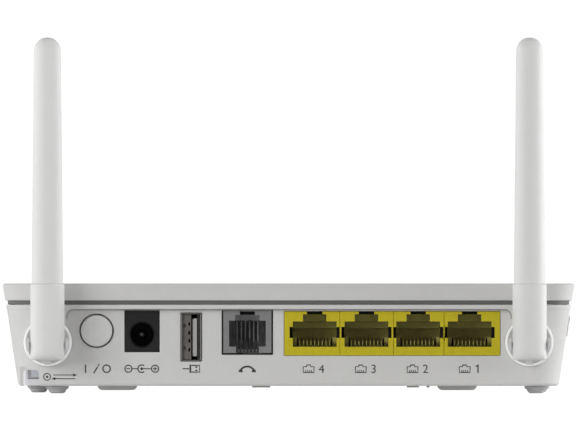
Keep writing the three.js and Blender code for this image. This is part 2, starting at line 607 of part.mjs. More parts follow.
// ---- Antennas ----
for (const [name, side] of [['left', -1], ['right', 1]]) {
  const x = side * HUB_X;
  const rim = REAR + 0.9;
  const cupFloor = REAR + 3.3;
  const cupBack = REAR + 4.3;
  const grooveStart = PANEL_BACK + 0.2;
  const grooveEnd = grooveStart + 1.5;
  const shaftEnd = grooveEnd + 1.1;

  // Hub: cup, grooved shaft, two ears and the stop tab under the sleeve
  const cup = rodY(x, HUB_Z, HUB_RADIUS, rim, cupBack, 40).subtract(rodY(x, HUB_Z, 5.9, rim - 1, cupFloor, 40));
  const shaft = join([
    rodY(x, HUB_Z, 4.9, cupBack - 0.5, grooveStart, 32),
    rodY(x, HUB_Z, 3.9, grooveStart - 0.5, grooveEnd + 0.5, 32),
    rodY(x, HUB_Z, 4.9, grooveEnd, shaftEnd, 32),
  ]);
  const earOutline = new THREE.Shape();
  earOutline.moveTo(cupBack - 0.5, PIVOT_Z - 2.05);
  earOutline.lineTo(cupBack - 0.5, PIVOT_Z + 2.05);
  earOutline.lineTo(PIVOT_Y, PIVOT_Z + 2.05);
  earOutline.absarc(PIVOT_Y, PIVOT_Z, 2.05, Math.PI / 2, 1.5 * Math.PI);
  earOutline.closePath();
  const within = rodY(x, HUB_Z, HUB_RADIUS - 0.05, PIVOT_Y - 4, cupBack, 40);
  const ears = [[4.93, 7], [-7, -4.93]].map(([a, b]) => slabX(earOutline, x + a, x + b, 8).intersect(within));
  const tab = box(x - 0.95, x + 0.95, REAR - 0.6, cupBack - 0.5, HUB_Z - 6.2, HUB_Z - 5.05);
  const hub = join([cup, shaft, ...ears, tab.intersect(within)]);
  const bore = rodY(x, HUB_Z, 1.6, cupFloor - 1, shaftEnd + 1, 20);
  const pinHole = rodX(PIVOT_Y, PIVOT_Z, 1, x - 8, x + 8, 24);
  add(`antenna_hub_${name}`, 'white_plastic', cut(hub, [bore, pinHole]));

  // C-shaped clip in the shaft's groove
  const ring = rodY(x, HUB_Z, 6.3, grooveStart + 0.2, grooveEnd - 0.25, 32);
  const eye = rodY(x, HUB_Z, 4.2, REAR, grooveEnd + 2, 28);
  const mouth = box(x - 3.3, x + 3.3, REAR, grooveEnd + 2, HUB_Z, HUB_Z + 8);
  add(`hub_clip_${name}`, 'steel', cut(ring, [eye, mouth]));
  add(`hinge_pin_${name}`, 'steel', rodX(PIVOT_Y, PIVOT_Z, 0.8, x - 5.7, x + 5.7, 24));

  // Sleeve around the pin, open for the cable and the blade's root
  const skin = loft([
    ovalRing(x, PIVOT_Y, 4.2, 4.1, SLEEVE_BOTTOM),
    ovalRing(x, PIVOT_Y, 4.625, 4.5, SLEEVE_BOTTOM + 0.6),
    ovalRing(x, PIVOT_Y, 4.6, 4.5, SLEEVE_TOP - 0.3),
    ovalRing(x, PIVOT_Y, 4.45, 4.35, SLEEVE_TOP),
  ]);
  const rounding = slabX(roundedShape(PIVOT_Y - 4.5, PIVOT_Y + 4.5, SLEEVE_BOTTOM, 42, 2.2), x - 6, x + 6, 6);
  const socket = loft([
    ovalRing(x, PIVOT_Y, 3.85, 3.75, 20, 24),
    ovalRing(x, PIVOT_Y, 3.85, 3.75, SLEEVE_TOP + 1, 24),
  ]);
  const channel = box(x - 1.4, x + 1.4, PIVOT_Y - 1.4, PIVOT_Y + 1.4, 8, 21);
  const hinge = rodX(PIVOT_Y, PIVOT_Z, 1.05, x - 8, x + 8, 24);
  add(`antenna_sleeve_${name}`, 'white_plastic', cut(skin.intersect(rounding), [socket, channel, hinge]));

  // Blade: root in the sleeve, taper, domed top, hollow for the radiator
  const start = SLEEVE_TOP + 0.1;
  const domeStart = 92.3;
  const rings = [
    ovalRing(x, PIVOT_Y, 3.65, 3.55, 20.3),
    ovalRing(x, PIVOT_Y, 3.65, 3.55, start),
    ovalRing(x, PIVOT_Y, 4.25, 4.1, start + 0.02),
    ovalRing(x, PIVOT_Y, 3.65, 3.3, domeStart),
  ];
  const domeHeight = BLADE_TOP - domeStart;
  for (const turn of [0.35, 0.6, 0.8, 0.93]) {
    const spread = Math.cos((turn * Math.PI) / 2);
    const rise = Math.sin((turn * Math.PI) / 2);
    rings.push(ovalRing(x, PIVOT_Y, 3.65 * spread, 3.3 * spread, domeStart + domeHeight * rise));
  }
  rings.push(ovalRing(x, PIVOT_Y, 0.15, 0.13, BLADE_TOP));
  const hollow = box(x - 2.2, x + 2.2, PIVOT_Y - 1, PIVOT_Y + 1, 19, 88);
  add(`antenna_blade_${name}`, 'white_plastic', loft(rings).subtract(hollow));
  add(`antenna_element_${name}`, 'board', box(x - 1.9, x + 1.9, PIVOT_Y - 0.6, PIVOT_Y + 0.6, 20.6, 87));

  // Cable from the board, through the hub's axis, ending in the cup
  const run = new THREE.CatmullRomCurve3([
    new THREE.Vector3(x, REAR + 1.8, HUB_Z),
    new THREE.Vector3(x, REAR + 6, HUB_Z),
    new THREE.Vector3(x, REAR + 11, HUB_Z),
    new THREE.Vector3(x - side * 3, REAR + 16, HUB_Z + 4.5),
    new THREE.Vector3(x - side * 10, REAR + 24, HUB_Z + 5.5),
    new THREE.Vector3(x - side * 14, REAR + 29, HUB_Z + 2),
    new THREE.Vector3(x - side * 15, REAR + 30.5, BOARD_TOP + 0.8),
  ]);
  const section = new THREE.Shape();
  section.absarc(0, 0, 0.65, 0, 2 * Math.PI);
  const cable = new THREE.ExtrudeGeometry(section, {
    steps: 18,
    curveSegments: 5,
    bevelEnabled: false,
    extrudePath: run,
  });
  const plug = rodZ(x - side * 15, REAR + 30.5, 1.4, BOARD_TOP + 0.1, BOARD_TOP + 1.5, 16);
  add(`antenna_coax_${name}`, 'black_plastic', join([solid(cable), plug]));
}

// ---- Circuit board and what stands on it ----
{
  const left = -55.5;
  const right = 71;
  const notch = 57.6;
  const near = PANEL_BACK + 0.4;
  const far = REAR + 100;
  const outline = polygonShape([
    [left, near],
    [notch, near],
    [notch, REAR + 16],
    [right, REAR + 16],
    [right, far],
    [left, far],
  ]);
  const holes = [
    ...SCREWS.slice(0, 2).map(([x, y]) => rodZ(x, y, 4, 5, 10, 20)),
    ...BOARD_SCREWS.map(([x, y]) => rodZ(x, y, 1.3, 5, 10, 16)),
  ];
  add('main_pcb', 'board', cut(slabZ(outline, BOARD_BOTTOM, BOARD_TOP), holes));

  add('soc_chip', 'chip', box(6, 23, REAR + 56, REAR + 73, ON_BOARD, ON_BOARD + 1.5));
  const sinkBottom = ON_BOARD + 1.65;
  const fins = [];
  for (let i = 0; i < 7; i += 1) {
    const x = 1 + i * 4.3;
    fins.push(box(x, x + 1.4, REAR + 50, REAR + 79, sinkBottom + 1, sinkBottom + 9));
  }
  const plate = box(1, 28.2, REAR + 50, REAR + 79, sinkBottom, sinkBottom + 2);
  add('heatsink', 'aluminium', join([plate, ...fins]));
  const can = box(33, 60, REAR + 52, REAR + 78, ON_BOARD, ON_BOARD + 3.2);
  const hollow = box(33.4, 59.6, REAR + 52.4, REAR + 77.6, ON_BOARD - 1, ON_BOARD + 2.8);
  add('shield_can', 'steel', can.subtract(hollow));
  add('lan_magnetics', 'chip', box(2, 46, REAR + 24.5, REAR + 34, ON_BOARD, ON_BOARD + 5.6));
  const rises = [['capacitor_1', -41.5, REAR + 30, 4, 12], ['capacitor_2', -31, REAR + 32, 3.2, 10]];
  for (const [name, x, y, radius, height] of rises) {
    const can1 = rodZ(x, y, radius, ON_BOARD, ON_BOARD + height, 24);
    const vent = join([
      box(x - radius * 0.6, x + radius * 0.6, y - 0.2, y + 0.2, ON_BOARD + height - 0.3, 40),
      box(x - 0.2, x + 0.2, y - radius * 0.6, y + radius * 0.6, ON_BOARD + height - 0.3, 40),
    ]);
    add(name, 'aluminium', can1.subtract(vent));
  }
}

export default root;
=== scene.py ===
import json
import math

import bmesh
import bpy
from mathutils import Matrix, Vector


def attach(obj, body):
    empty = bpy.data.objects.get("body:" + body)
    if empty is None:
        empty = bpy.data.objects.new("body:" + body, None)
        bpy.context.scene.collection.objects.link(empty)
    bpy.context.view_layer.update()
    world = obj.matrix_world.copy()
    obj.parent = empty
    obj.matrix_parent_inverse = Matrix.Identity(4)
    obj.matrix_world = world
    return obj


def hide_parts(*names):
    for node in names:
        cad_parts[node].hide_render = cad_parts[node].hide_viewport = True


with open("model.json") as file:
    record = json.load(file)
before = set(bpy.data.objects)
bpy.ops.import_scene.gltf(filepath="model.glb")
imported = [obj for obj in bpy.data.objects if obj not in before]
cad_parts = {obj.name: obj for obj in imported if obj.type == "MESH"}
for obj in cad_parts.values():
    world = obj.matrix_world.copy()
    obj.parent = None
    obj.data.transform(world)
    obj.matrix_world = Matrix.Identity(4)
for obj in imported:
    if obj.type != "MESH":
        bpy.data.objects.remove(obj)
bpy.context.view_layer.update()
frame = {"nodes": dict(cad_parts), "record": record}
nodes = frame["nodes"]

MM = 0.001

# ---- Sizes in millimetres, in the same frame as the CAD model ----

HALF_WIDTH = 77.4
REAR = -55.3
FRONT = REAR + 120
CORNER = 8
INNER_CORNER = 6
BASE_BOTTOM = 2
BASE_TOP = 24
LID_BOTTOM = 25.1
LID_TOP = 29.7
TAPER = 3.2 / 22
BASE_INSET = 4.2
FLOOR_TOP = 3.8
PANEL = REAR + 3.4
PANEL_BACK = REAR + 5.9
PANEL_LEFT = -60.1
PANEL_RIGHT = 60.4
PANEL_TOP = 22.75
HUB_X = 65.1
HUB_Z = 13.84
PIVOT_Y = REAR - 4.9
PIVOT_Z = 12.9
SLEEVE_BOTTOM = 9.05
SLEEVE_TOP = 29.5
BLADE_TOP = 96.1
POWER_X = -51.9
POWER_Z = 16.9
DC = (-44.3, -34.9, 11.2, 22.6)
DC_Z = 15.9
USB = (-29.08, -23.52, 8.7, 21.75)
TEL = (-17.95, -4.25, 10.5, 22.6)
LAN = (-1.13, 57.2, 10.25, 22.15)
LAN_CENTRES = (7.1, 21.1, 35.1, 49.0)
SIDE_BUTTONS = (REAR + 32, REAR + 52)
SEAMS = (13.9, 28.4, 42.1)
FIBRE_BAY = (-71.7, -58, REAR + 16, REAR + 66, 13.5)
FIBRE_SLOT = (-71.7, -67.5, 6.35)
PADS = (-47, 46.3)
KEYHOLES = (-46, 46)
SCREWS = [(sx * 50, y) for y in (REAR + 40, REAR + 108) for sx in (-1, 1)]
FEET = {
    "foot_rear_left": (-62.6, REAR + 10.5),
    "foot_rear_right": (67, REAR + 10.5),
    "foot_front_left": (-69, REAR + 110),
    "foot_front_right": (69, REAR + 110),
}

MARK_Z = 6.65

# The picture: metres across, the height of its middle, and where the camera stands
VIEW_WIDTH = 0.15595
VIEW_MIDDLE = 0.0478
CAMERA_HEIGHT = 0.012
CAMERA_DISTANCE = 5.0
SENSOR = 36.0

# The surroundings: a large floor just under the feet, and how white it and the sky look
FLOOR_REACH = 2500
FLOOR_LEVEL = -0.05
SEEN_WHITE = 1.05
SKY_LIGHT = 0.26
BOUNCE = 0.16
BOUNCE_FROM = 0.078
BOUNCE_TO = 0.115
LIGHT_AIM = (0, -0.05, 0.03)

# ---- Mesh tools ----


def new_object(name, verts, faces):
    """A mesh object from corners in millimetres."""
    mesh = bpy.data.meshes.new(name)
    mesh.from_pydata([(x * MM, y * MM, z * MM) for x, y, z in verts], [], faces)
    mesh.update()
    obj = bpy.data.objects.new(name, mesh)
    bpy.context.scene.collection.objects.link(obj)
    return obj


def loft(name, rings):
    """A closed skin through rings of equal count, from one end to the other."""
    n = len(rings[0])
    verts = [p for ring in rings for p in ring]
    faces = [tuple(range(n - 1, -1, -1))]
    for level in range(len(rings) - 1):
        for j in range(n):
            a = level * n + j
            b = level * n + (j + 1) % n
            faces.append((a, b, b + n, a + n))
    last = (len(rings) - 1) * n
    faces.append(tuple(range(last, last + n)))
    return new_object(name, verts, faces)


def arc(cx, cy, r, start, end, steps):
    """Points along part of a circle, both ends included."""
    turns = [start + (end - start) * i / steps for i in range(steps + 1)]
    return [(cx + r * math.cos(turn), cy + r * math.sin(turn)) for turn in turns]


def rounded_outline(u0, u1, v0, v1, r, steps=8):
    """Counter-clockwise outline of a rounded rectangle."""
    if r <= 0:
        return [(u0, v0), (u1, v0), (u1, v1), (u0, v1)]
    q = math.pi / 2
    return (
        arc(u1 - r, v0 + r, r, -q, 0, steps)
        + arc(u1 - r, v1 - r, r, 0, q, steps)
        + arc(u0 + r, v1 - r, r, q, 2 * q, steps)
        + arc(u0 + r, v0 + r, r, 2 * q, 3 * q, steps)
    )


def circle_outline(cx, cy, r, steps=64):
    return [
        (cx + r * math.cos(2 * math.pi * i / steps), cy + r * math.sin(2 * math.pi * i / steps))
        for i in range(steps)
    ]


def prism(name, outline, axis, a, b):
    """An outline carried along an axis: (x, y) along z, (x, z) along y, or (y, z) along x."""
    if axis == "z":
        rings = [[(u, v, w) for u, v in outline] for w in (a, b)]
    elif axis == "y":
        rings = [[(u, w, v) for u, v in outline] for w in (b, a)]
    else:
        rings = [[(w, u, v) for u, v in outline] for w in (a, b)]
    return loft(name, rings)


def box(name, x0, x1, y0, y1, z0, z1):
    return prism(name, [(x0, y0), (x1, y0), (x1, y1), (x0, y1)], "z", z0, z1)


def plan_ring(inset, z, corner=CORNER, steps=14):
    """The housing's outline seen from above, moved inwards, at a height."""
    outline = rounded_outline(-HALF_WIDTH + inset, HALF_WIDTH - inset, REAR + inset, FRONT - inset, corner, steps)
    return [(x, y, z) for x, y in outline]


def inset_at(z):
    """How far the tray's wall stands in from the full outline at a height."""
    return BASE_INSET - (z - BASE_BOTTOM) * TAPER


def oval_ring(cx, cy, half_width, half_depth, z, sides=72, power=2.25):
    """A slightly squared oval at a height."""
    ring = []
    for j in range(sides):
        angle = 2 * math.pi * j / sides
        c, s = math.cos(angle), math.sin(angle)
        x = math.copysign(abs(c) ** (2 / power) * half_width, c)
        y = math.copysign(abs(s) ** (2 / power) * half_depth, s)
        ring.append((cx + x, cy + y, z))
    return ring


def lathe(name, profile, centre, axis, sides=64):
    """(radius, along) pairs turned about a line through `centre`. The first and last radius are 0."""
    verts, rows = [], []
    for r, t in profile:
        if r < 1e-6:
            rows.append([len(verts)])
            verts.append((0, 0, t))
            continue
        rows.append(list(range(len(verts), len(verts) + sides)))
        for j in range(sides):
            angle = 2 * math.pi * j / sides
            verts.append((r * math.cos(angle), r * math.sin(angle), t))
    faces = []
    for lower, upper in zip(rows, rows[1:]):
        for j in range(sides):
            k = (j + 1) % sides
            if len(lower) == 1 and len(upper) > 1:
                faces.append((lower[0], upper[k], upper[j]))
            elif len(upper) == 1 and len(lower) > 1:
                faces.append((lower[j], lower[k], upper[0]))
            elif len(lower) > 1:
                faces.append((lower[j], lower[k], upper[k], upper[j]))
    if axis == "y":
        verts = [(x, z, -y) for x, y, z in verts]
    elif axis == "x":
        verts = [(z, x, y) for x, y, z in verts]
    cx, cy, cz = centre
    return new_object(name, [(x + cx, y + cy, z + cz) for x, y, z in verts], faces)


def round_profile(corners, radius, steps=5):
    """(radius, along) corners with every inner corner rounded."""
    out = [corners[0]]
    for before, at, after in zip(corners, corners[1:], corners[2:]):
        p, q, s = Vector(before), Vector(at), Vector(after)
        d1, d2 = p - q, s - q
        cut = min(radius, d1.length * 0.45, d2.length * 0.45)
        a, b = q + d1.normalized() * cut, q + d2.normalized() * cut
        for i in range(steps + 1):
            t = i / steps
            out.append(tuple((1 - t) ** 2 * a + 2 * t * (1 - t) * q + t * t * b))
    out.append(corners[-1])
    return out


def combine(obj, tools, operation="DIFFERENCE"):
    """Booleans with every tool in turn; the tools are used up."""
    for tool in tools:
        mod = obj.modifiers.new("combine", "BOOLEAN")
        mod.operation = operation
        mod.solver = "MANIFOLD"
        mod.object = tool
    depsgraph = bpy.context.evaluated_depsgraph_get()
    mesh = bpy.data.meshes.new_from_object(obj.evaluated_get(depsgraph))
    obj.modifiers.clear()
    old = obj.data
    obj.data = mesh
    mesh.name = obj.name
    bpy.data.meshes.remove(old)
    for tool in tools:
        data = tool.data
        bpy.data.objects.remove(tool)
        bpy.data.meshes.remove(data)
    return obj


def tidy_mesh(obj):
    """Merges doubles and splits large faces, so that bevels and shading follow the real edges."""
    bm = bmesh.new()
    bm.from_mesh(obj.data)
    bmesh.ops.remove_doubles(bm, verts=bm.verts, dist=2e-6)
    bmesh.ops.dissolve_degenerate(bm, edges=bm.edges, dist=1e-6)
    large = [face for face in bm.faces if len(face.verts) > 4]
    bmesh.ops.triangulate(bm, faces=large, quad_method="BEAUTY", ngon_method="BEAUTY")
    bmesh.ops.recalc_face_normals(bm, faces=bm.faces)
    bm.to_mesh(obj.data)
    bm.free()


def soften(obj, width, segments=3, angle=32):
    """Rounds the hard edges, or keeps them crisp at no width, and shades the rest smooth."""
    for face in obj.data.polygons:
        face.use_smooth = True
    if not width:
        obj.data.set_sharp_from_angle(angle=math.radians(angle))
    else:
        bevel = obj.modifiers.new("edge_round", "BEVEL")
        bevel.width = width * MM
        bevel.segments = segments
        bevel.limit_method = "ANGLE"
        bevel.angle_limit = math.radians(angle)
        bevel.use_clamp_overlap = False
        bevel.miter_outer = "MITER_ARC"
        bevel.harden_normals = True
    normals = obj.modifiers.new("face_normals", "WEIGHTED_NORMAL")
    normals.keep_sharp = True
    normals.weight = 80


def join(name, objs):
    """Several meshes as one piece."""
    bm = bmesh.new()
    for obj in objs:
        bm.from_mesh(obj.data)
    mesh = bpy.data.meshes.new(name)
    bm.to_mesh(mesh)
    bm.free()
    for obj in objs:
        data = obj.data
        bpy.data.objects.remove(obj)
        bpy.data.meshes.remove(data)
    piece = bpy.data.objects.new(name, mesh)
    bpy.context.scene.collection.objects.link(piece)
    return piece


# ---- Materials ----


def plastic(name, colour, rough, spread=0.03, grain=4200, depth=0.012, mottle=420, coat=0.0, specular=0.5,
            subsurface=0.0, glow=0.0):
    """Moulded plastic: slight colour drift, uneven gloss and a fine surface grain. `glow` is light bounced in."""
    mat = bpy.data.materials.new(name)
    mat.use_nodes = True
    tree = mat.node_tree
    shader = tree.nodes["Principled BSDF"]
    shader.inputs["Specular IOR Level"].default_value = specular
    shader.inputs["Coat Weight"].default_value = coat
    if subsurface:
        shader.inputs["Subsurface Weight"].default_value = subsurface
        shader.inputs["Subsurface Scale"].default_value = 0.0012
        shader.inputs["Subsurface Radius"].default_value = (1.0, 0.95, 0.9)
    if glow:
        shader.inputs["Emission Color"].default_value = (1, 1, 1, 1)
        shader.inputs["Emission Strength"].default_value = glow
    coords = tree.nodes.new("ShaderNodeTexCoord")
    drift = tree.nodes.new("ShaderNodeTexNoise")
    drift.inputs["Scale"].default_value = mottle
    drift.inputs["Detail"].default_value = 4
    tree.links.new(coords.outputs["Object"], drift.inputs["Vector"])
    ramp = tree.nodes.new("ShaderNodeValToRGB")
    low = [max(0.0, c * (1 - spread)) for c in colour]
    high = [min(1.0, c * (1 + spread)) for c in colour]
    ramp.color_ramp.elements[0].position = 0.3
    ramp.color_ramp.elements[0].color = (*low, 1)
    ramp.color_ramp.elements[1].position = 0.7
    ramp.color_ramp.elements[1].color = (*high, 1)
    tree.links.new(drift.outputs["Fac"], ramp.inputs["Fac"])
    tree.links.new(ramp.outputs["Color"], shader.inputs["Base Color"])
    gloss = tree.nodes.new("ShaderNodeMapRange")
    gloss.inputs["To Min"].default_value = max(0.02, rough - 0.05)
    gloss.inputs["To Max"].default_value = min(1.0, rough + 0.06)
    tree.links.new(drift.outputs["Fac"], gloss.inputs["Value"])
    tree.links.new(gloss.outputs["Result"], shader.inputs["Roughness"])
    fine = tree.nodes.new("ShaderNodeTexNoise")
    fine.inputs["Scale"].default_value = grain
    fine.inputs["Detail"].default_value = 5
    fine.inputs["Roughness"].default_value = 0.65
    tree.links.new(coords.outputs["Object"], fine.inputs["Vector"])
    bump = tree.nodes.new("ShaderNodeBump")
    bump.inputs["Strength"].default_value = 0.5
    bump.inputs["Distance"].default_value = depth * MM
    tree.links.new(fine.outputs["Fac"], bump.inputs["Height"])
    tree.links.new(bump.outputs["Normal"], shader.inputs["Normal"])
    return mat


def brushed(name, colour, rough, along=(60, 2600, 2600)):
    """Drawn or rolled metal with fine streaks."""
    mat = bpy.data.materials.new(name)
    mat.use_nodes = True
    tree = mat.node_tree
    shader = tree.nodes["Principled BSDF"]
    shader.inputs["Metallic"].default_value = 1.0
    coords = tree.nodes.new("ShaderNodeTexCoord")
    stretch = tree.nodes.new("ShaderNodeMapping")
    stretch.inputs["Scale"].default_value = along
    tree.links.new(coords.outputs["Object"], stretch.inputs["Vector"])
    streaks = tree.nodes.new("ShaderNodeTexNoise")
    streaks.inputs["Scale"].default_value = 1.0
    streaks.inputs["Detail"].default_value = 4
    tree.links.new(stretch.outputs["Vector"], streaks.inputs["Vector"])
    ramp = tree.nodes.new("ShaderNodeValToRGB")
    ramp.color_ramp.elements[0].position = 0.25
    ramp.color_ramp.elements[0].color = (*[c * 0.86 for c in colour], 1)
    ramp.color_ramp.elements[1].position = 0.75
    ramp.color_ramp.elements[1].color = (*colour, 1)
    tree.links.new(streaks.outputs["Fac"], ramp.inputs["Fac"])
    tree.links.new(ramp.outputs["Color"], shader.inputs["Base Color"])
    gloss = tree.nodes.new("ShaderNodeMapRange")
    gloss.inputs["To Min"].default_value = max(0.05, rough - 0.08)
    gloss.inputs["To Max"].default_value = rough + 0.1
    tree.links.new(streaks.outputs["Fac"], gloss.inputs["Value"])
    tree.links.new(gloss.outputs["Result"], shader.inputs["Roughness"])
    bump = tree.nodes.new("ShaderNodeBump")
    bump.inputs["Strength"].default_value = 0.4
    bump.inputs["Distance"].default_value = 0.004 * MM
    tree.links.new(streaks.outputs["Fac"], bump.inputs["Height"])
    tree.links.new(bump.outputs["Normal"], shader.inputs["Normal"])
    return mat


MATS = {
    "housing_white": plastic("housing_white", (0.77, 0.767, 0.755), 0.55, spread=0.012, grain=5200, depth=0.010,
                             mottle=260, specular=0.4, subsurface=0.04),
    # antenna_white carries a glow: painted light that lifts the shaded sides of the antennas.
    "antenna_white": plastic("antenna_white", (0.8, 0.798, 0.79), 0.52, spread=0.01, grain=6500, depth=0.006,
                             mottle=300, specular=0.4, subsurface=0.05, glow=0.08),
    "light_pipe": plastic("light_pipe", (0.62, 0.66, 0.68), 0.25, spread=0.04, mottle=900, coat=0.4),
    "screw_steel": brushed("screw_steel", (0.62, 0.63, 0.65), 0.28, along=(900, 900, 120)),
    "foot_rubber": plastic("foot_rubber", (0.5, 0.5, 0.505), 0.75, spread=0.06, grain=5200, depth=0.03),
    "button_grey": plastic("button_grey", (0.79, 0.787, 0.78), 0.5, spread=0.02, grain=6000, depth=0.008, mottle=500),
    "switch_black": plastic("switch_black", (0.03, 0.03, 0.032), 0.5, spread=0.15),
    "jack_black": plastic("jack_black", (0.004, 0.004, 0.0045), 0.6, spread=0.2, grain=4800, depth=0.01),
    # pin_nickel is kept far darker than bare nickel: painted shade for the pin deep inside the jack's bore.
    "pin_nickel": brushed("pin_nickel", (0.09, 0.088, 0.084), 0.5, along=(900, 80, 900)),
    "usb_steel": brushed("usb_steel", (0.32, 0.31, 0.30), 0.36, along=(1500, 1500, 60)),
    "usb_tongue_white": plastic("usb_tongue_white", (0.55, 0.54, 0.535), 0.4, spread=0.02),
    "tel_grey": plastic("tel_grey", (0.265, 0.265, 0.268), 0.45, spread=0.05, grain=5200, depth=0.01),
    "contact_gold": brushed("contact_gold", (0.42, 0.36, 0.22), 0.3, along=(1500, 90, 1500)),
    "lan_yellow": plastic("lan_yellow", (0.66, 0.55, 0.004), 0.6, spread=0.05, grain=5200, depth=0.012, mottle=600),
    "contact_nickel": brushed("contact_nickel", (0.3, 0.3, 0.3), 0.35, along=(1500, 90, 1500)),
    "adapter_grey": plastic("adapter_grey", (0.6, 0.595, 0.615), 0.4, spread=0.04),
    "dust_cap_clear": plastic("dust_cap_clear", (0.6, 0.63, 0.66), 0.3, spread=0.03, coat=0.3, subsurface=0.2),
    "module_metal": brushed("module_metal", (0.6, 0.61, 0.62), 0.3),
    "board_green": plastic("board_green", (0.015, 0.12, 0.04), 0.35, spread=0.3, mottle=900, coat=0.3),
    "cable_black": plastic("cable_black", (0.02, 0.02, 0.02), 0.5, spread=0.2),
    "chip_black": plastic("chip_black", (0.03, 0.03, 0.032), 0.55, spread=0.15),
    "aluminium": brushed("aluminium", (0.65, 0.66, 0.67), 0.32),
    "can_steel": brushed("can_steel", (0.62, 0.62, 0.62), 0.3),
}
# Painted shade: the dark grey band in the groove between lid and tray stands for the shadow there.
SEAM_SHADE = plastic("seam_painted_shade", (0.16, 0.16, 0.158), 0.6, spread=0.05)
INK = plastic("mark_ink", (0.06, 0.06, 0.062), 0.55, spread=0.12, grain=7000, depth=0.004)
# Painted shade: a darker, duller copy of the socket yellow for the faces inside the network sockets.
LAN_INSIDE_SHADE = plastic("lan_inside_shade", (0.5, 0.455, 0.12), 0.55, spread=0.1)
# Painted shade: a dimmer copy of the contact gold for the wires deep inside the network sockets.
LAN_WIRE_SHADE = brushed("lan_wire_shade", (0.3, 0.28, 0.15), 0.45, along=(1500, 90, 1500))
# Painted shade: near black for gaps, notches and slits that are dark only because they lie in shadow.
GAP_SHADE = plastic("gap_painted_shade", (0.004, 0.004, 0.004), 0.7, spread=0.2)
# Painted shade and light: a darker copy of the antenna white with a glow, for the floor of the hub cup.
HUB_INSIDE_SHADE_AND_GLOW = plastic("hub_inside_shade_and_glow", (0.62, 0.62, 0.615), 0.55, spread=0.03, glow=0.1)
# Pale walls for the fibre slot and bay, with a glow that is painted light coming up through the open bay.
SLOT_INSIDE_LIT = plastic("slot_inside_lit", (0.8, 0.795, 0.82), 0.5, spread=0.03, glow=0.24)
# Painted highlight: a brighter copy of the antenna white with a glow, for the rounded rim of the hub cup.
HUB_RING_HIGHLIGHT = plastic("hub_ring_highlight", (0.9, 0.9, 0.895), 0.4, spread=0.01, subsurface=0.1, glow=0.2)
# Painted shade: flat dark colours for the inside of the USB socket, the deepest one right of the tongue.
USB_WALL_SHADE = plastic("usb_wall_shade", (0.155, 0.143, 0.134), 0.6, spread=0.12, grain=3800, depth=0.02)
USB_DEEP_SHADE = plastic("usb_deep_shade", (0.035, 0.033, 0.031), 0.6, spread=0.12, grain=3800, depth=0.02)
# Painted light: a lighter copy of the socket grey for the walls inside the phone socket, to offset their shade.
TEL_INSIDE_LIT = plastic("tel_inside_lit", (0.5, 0.5, 0.505), 0.5, spread=0.12, grain=5200, depth=0.01)
TEL_RIB = plastic("tel_rib", (0.24, 0.24, 0.242), 0.5, spread=0.12, grain=5200, depth=0.01)
RECESS_SHADE = plastic("recess_shade", (0.4, 0.4, 0.396), 0.6)


def dress(obj, mat):
    """Leaves the piece with one material."""
    obj.data.materials.clear()
    obj.data.materials.append(mat)


def finish_piece(obj, body, slot, stands_for=(), mat=None, edge=0.15, segments=3, angle=32):
    """Rounds and dresses a piece, and puts it on its body in place of the CAD nodes that it stands for."""
    tidy_mesh(obj)
    soften(obj, edge, segments, angle)
    dress(obj, mat or MATS[slot])
    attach(obj, body)
    if stands_for:
        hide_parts(*stands_for)
    return obj


def shade_inside(obj, behind, mat):
    """Gives the walls behind the face a second material, a retoned copy of the face's colour that paints in their
    light and shade.
    """
    obj.data.materials.append(mat)
    for face in obj.data.polygons:
        if face.center.y / MM > behind:
            face.material_index = 1


def body_of(node_name):
    return next(b for b, names in frame["record"]["behaviour"]["bodies"].items() if node_name in names)


slot_of = {part["node"]: part["material_slot"] for part in frame["record"]["subparts"]}
for node_name, node in nodes.items():
    if not node.material_slots:
        node.data.materials.append(None)
    for material_slot in node.material_slots:
        material_slot.material = MATS[slot_of[node_name]]

# ---- Lid ----


def make_lid():
    steps = 6
    rings = [plan_ring(0.95, LID_BOTTOM), plan_ring(0.74, LID_BOTTOM + 0.06), plan_ring(0.66, LID_BOTTOM + 0.25)]
    rings.append(plan_ring(0.1, LID_TOP - 0.75))
    for i in range(steps + 1):
        turn = math.pi / 2 * i / steps
        rings.append(plan_ring(0.05 + 0.6 * (1 - math.cos(turn)), LID_TOP - 0.6 + 0.6 * math.sin(turn)))
    lid = loft("lid", rings)
    outline = rounded_outline(-72.6, 72.6, PANEL_BACK + 1.7, FRONT - 4.8, 4.6, 10)
    hollow = prism("hollow", outline, "z", 20, LID_TOP - 1.8)
    outline = rounded_outline(-74, 74, PANEL_BACK + 0.3, FRONT - 3.4, 5.8, 10)
    lip = prism("lip", outline, "z", BASE_TOP - 1, LID_BOTTOM + 0.5)
    windows = []
    for i in range(8):
        x = (i - 3.5) * 8
        outline = rounded_outline(x - 1.6, x + 1.6, FRONT - 11.7, FRONT - 10.3, 0.35, 4)
        windows.append(prism("window", outline, "z", 26, LID_TOP + 1))
    combine(lid, [lip], "UNION")
    combine(lid, [hollow] + windows)
    finish_piece(lid, "housing", "housing_white", ["top_cover"], edge=0.06, segments=2, angle=50)

    # A dark band in the groove under the lid, painted shade for the groove's shadow.
    seam = loft("lid_seam_shade", [plan_ring(1.4, BASE_TOP + 0.12, 7), plan_ring(1.4, LID_BOTTOM + 0.02, 7)])
    inner = prism("inner", rounded_outline(-73.4, 73.4, REAR + 3.4, FRONT - 4, 5, 10), "z", 20, 30)
    combine(seam, [inner])
    finish_piece(seam, "housing", "housing_white", mat=SEAM_SHADE, edge=0.04, segments=1)


make_lid()

# ---- Tray ----


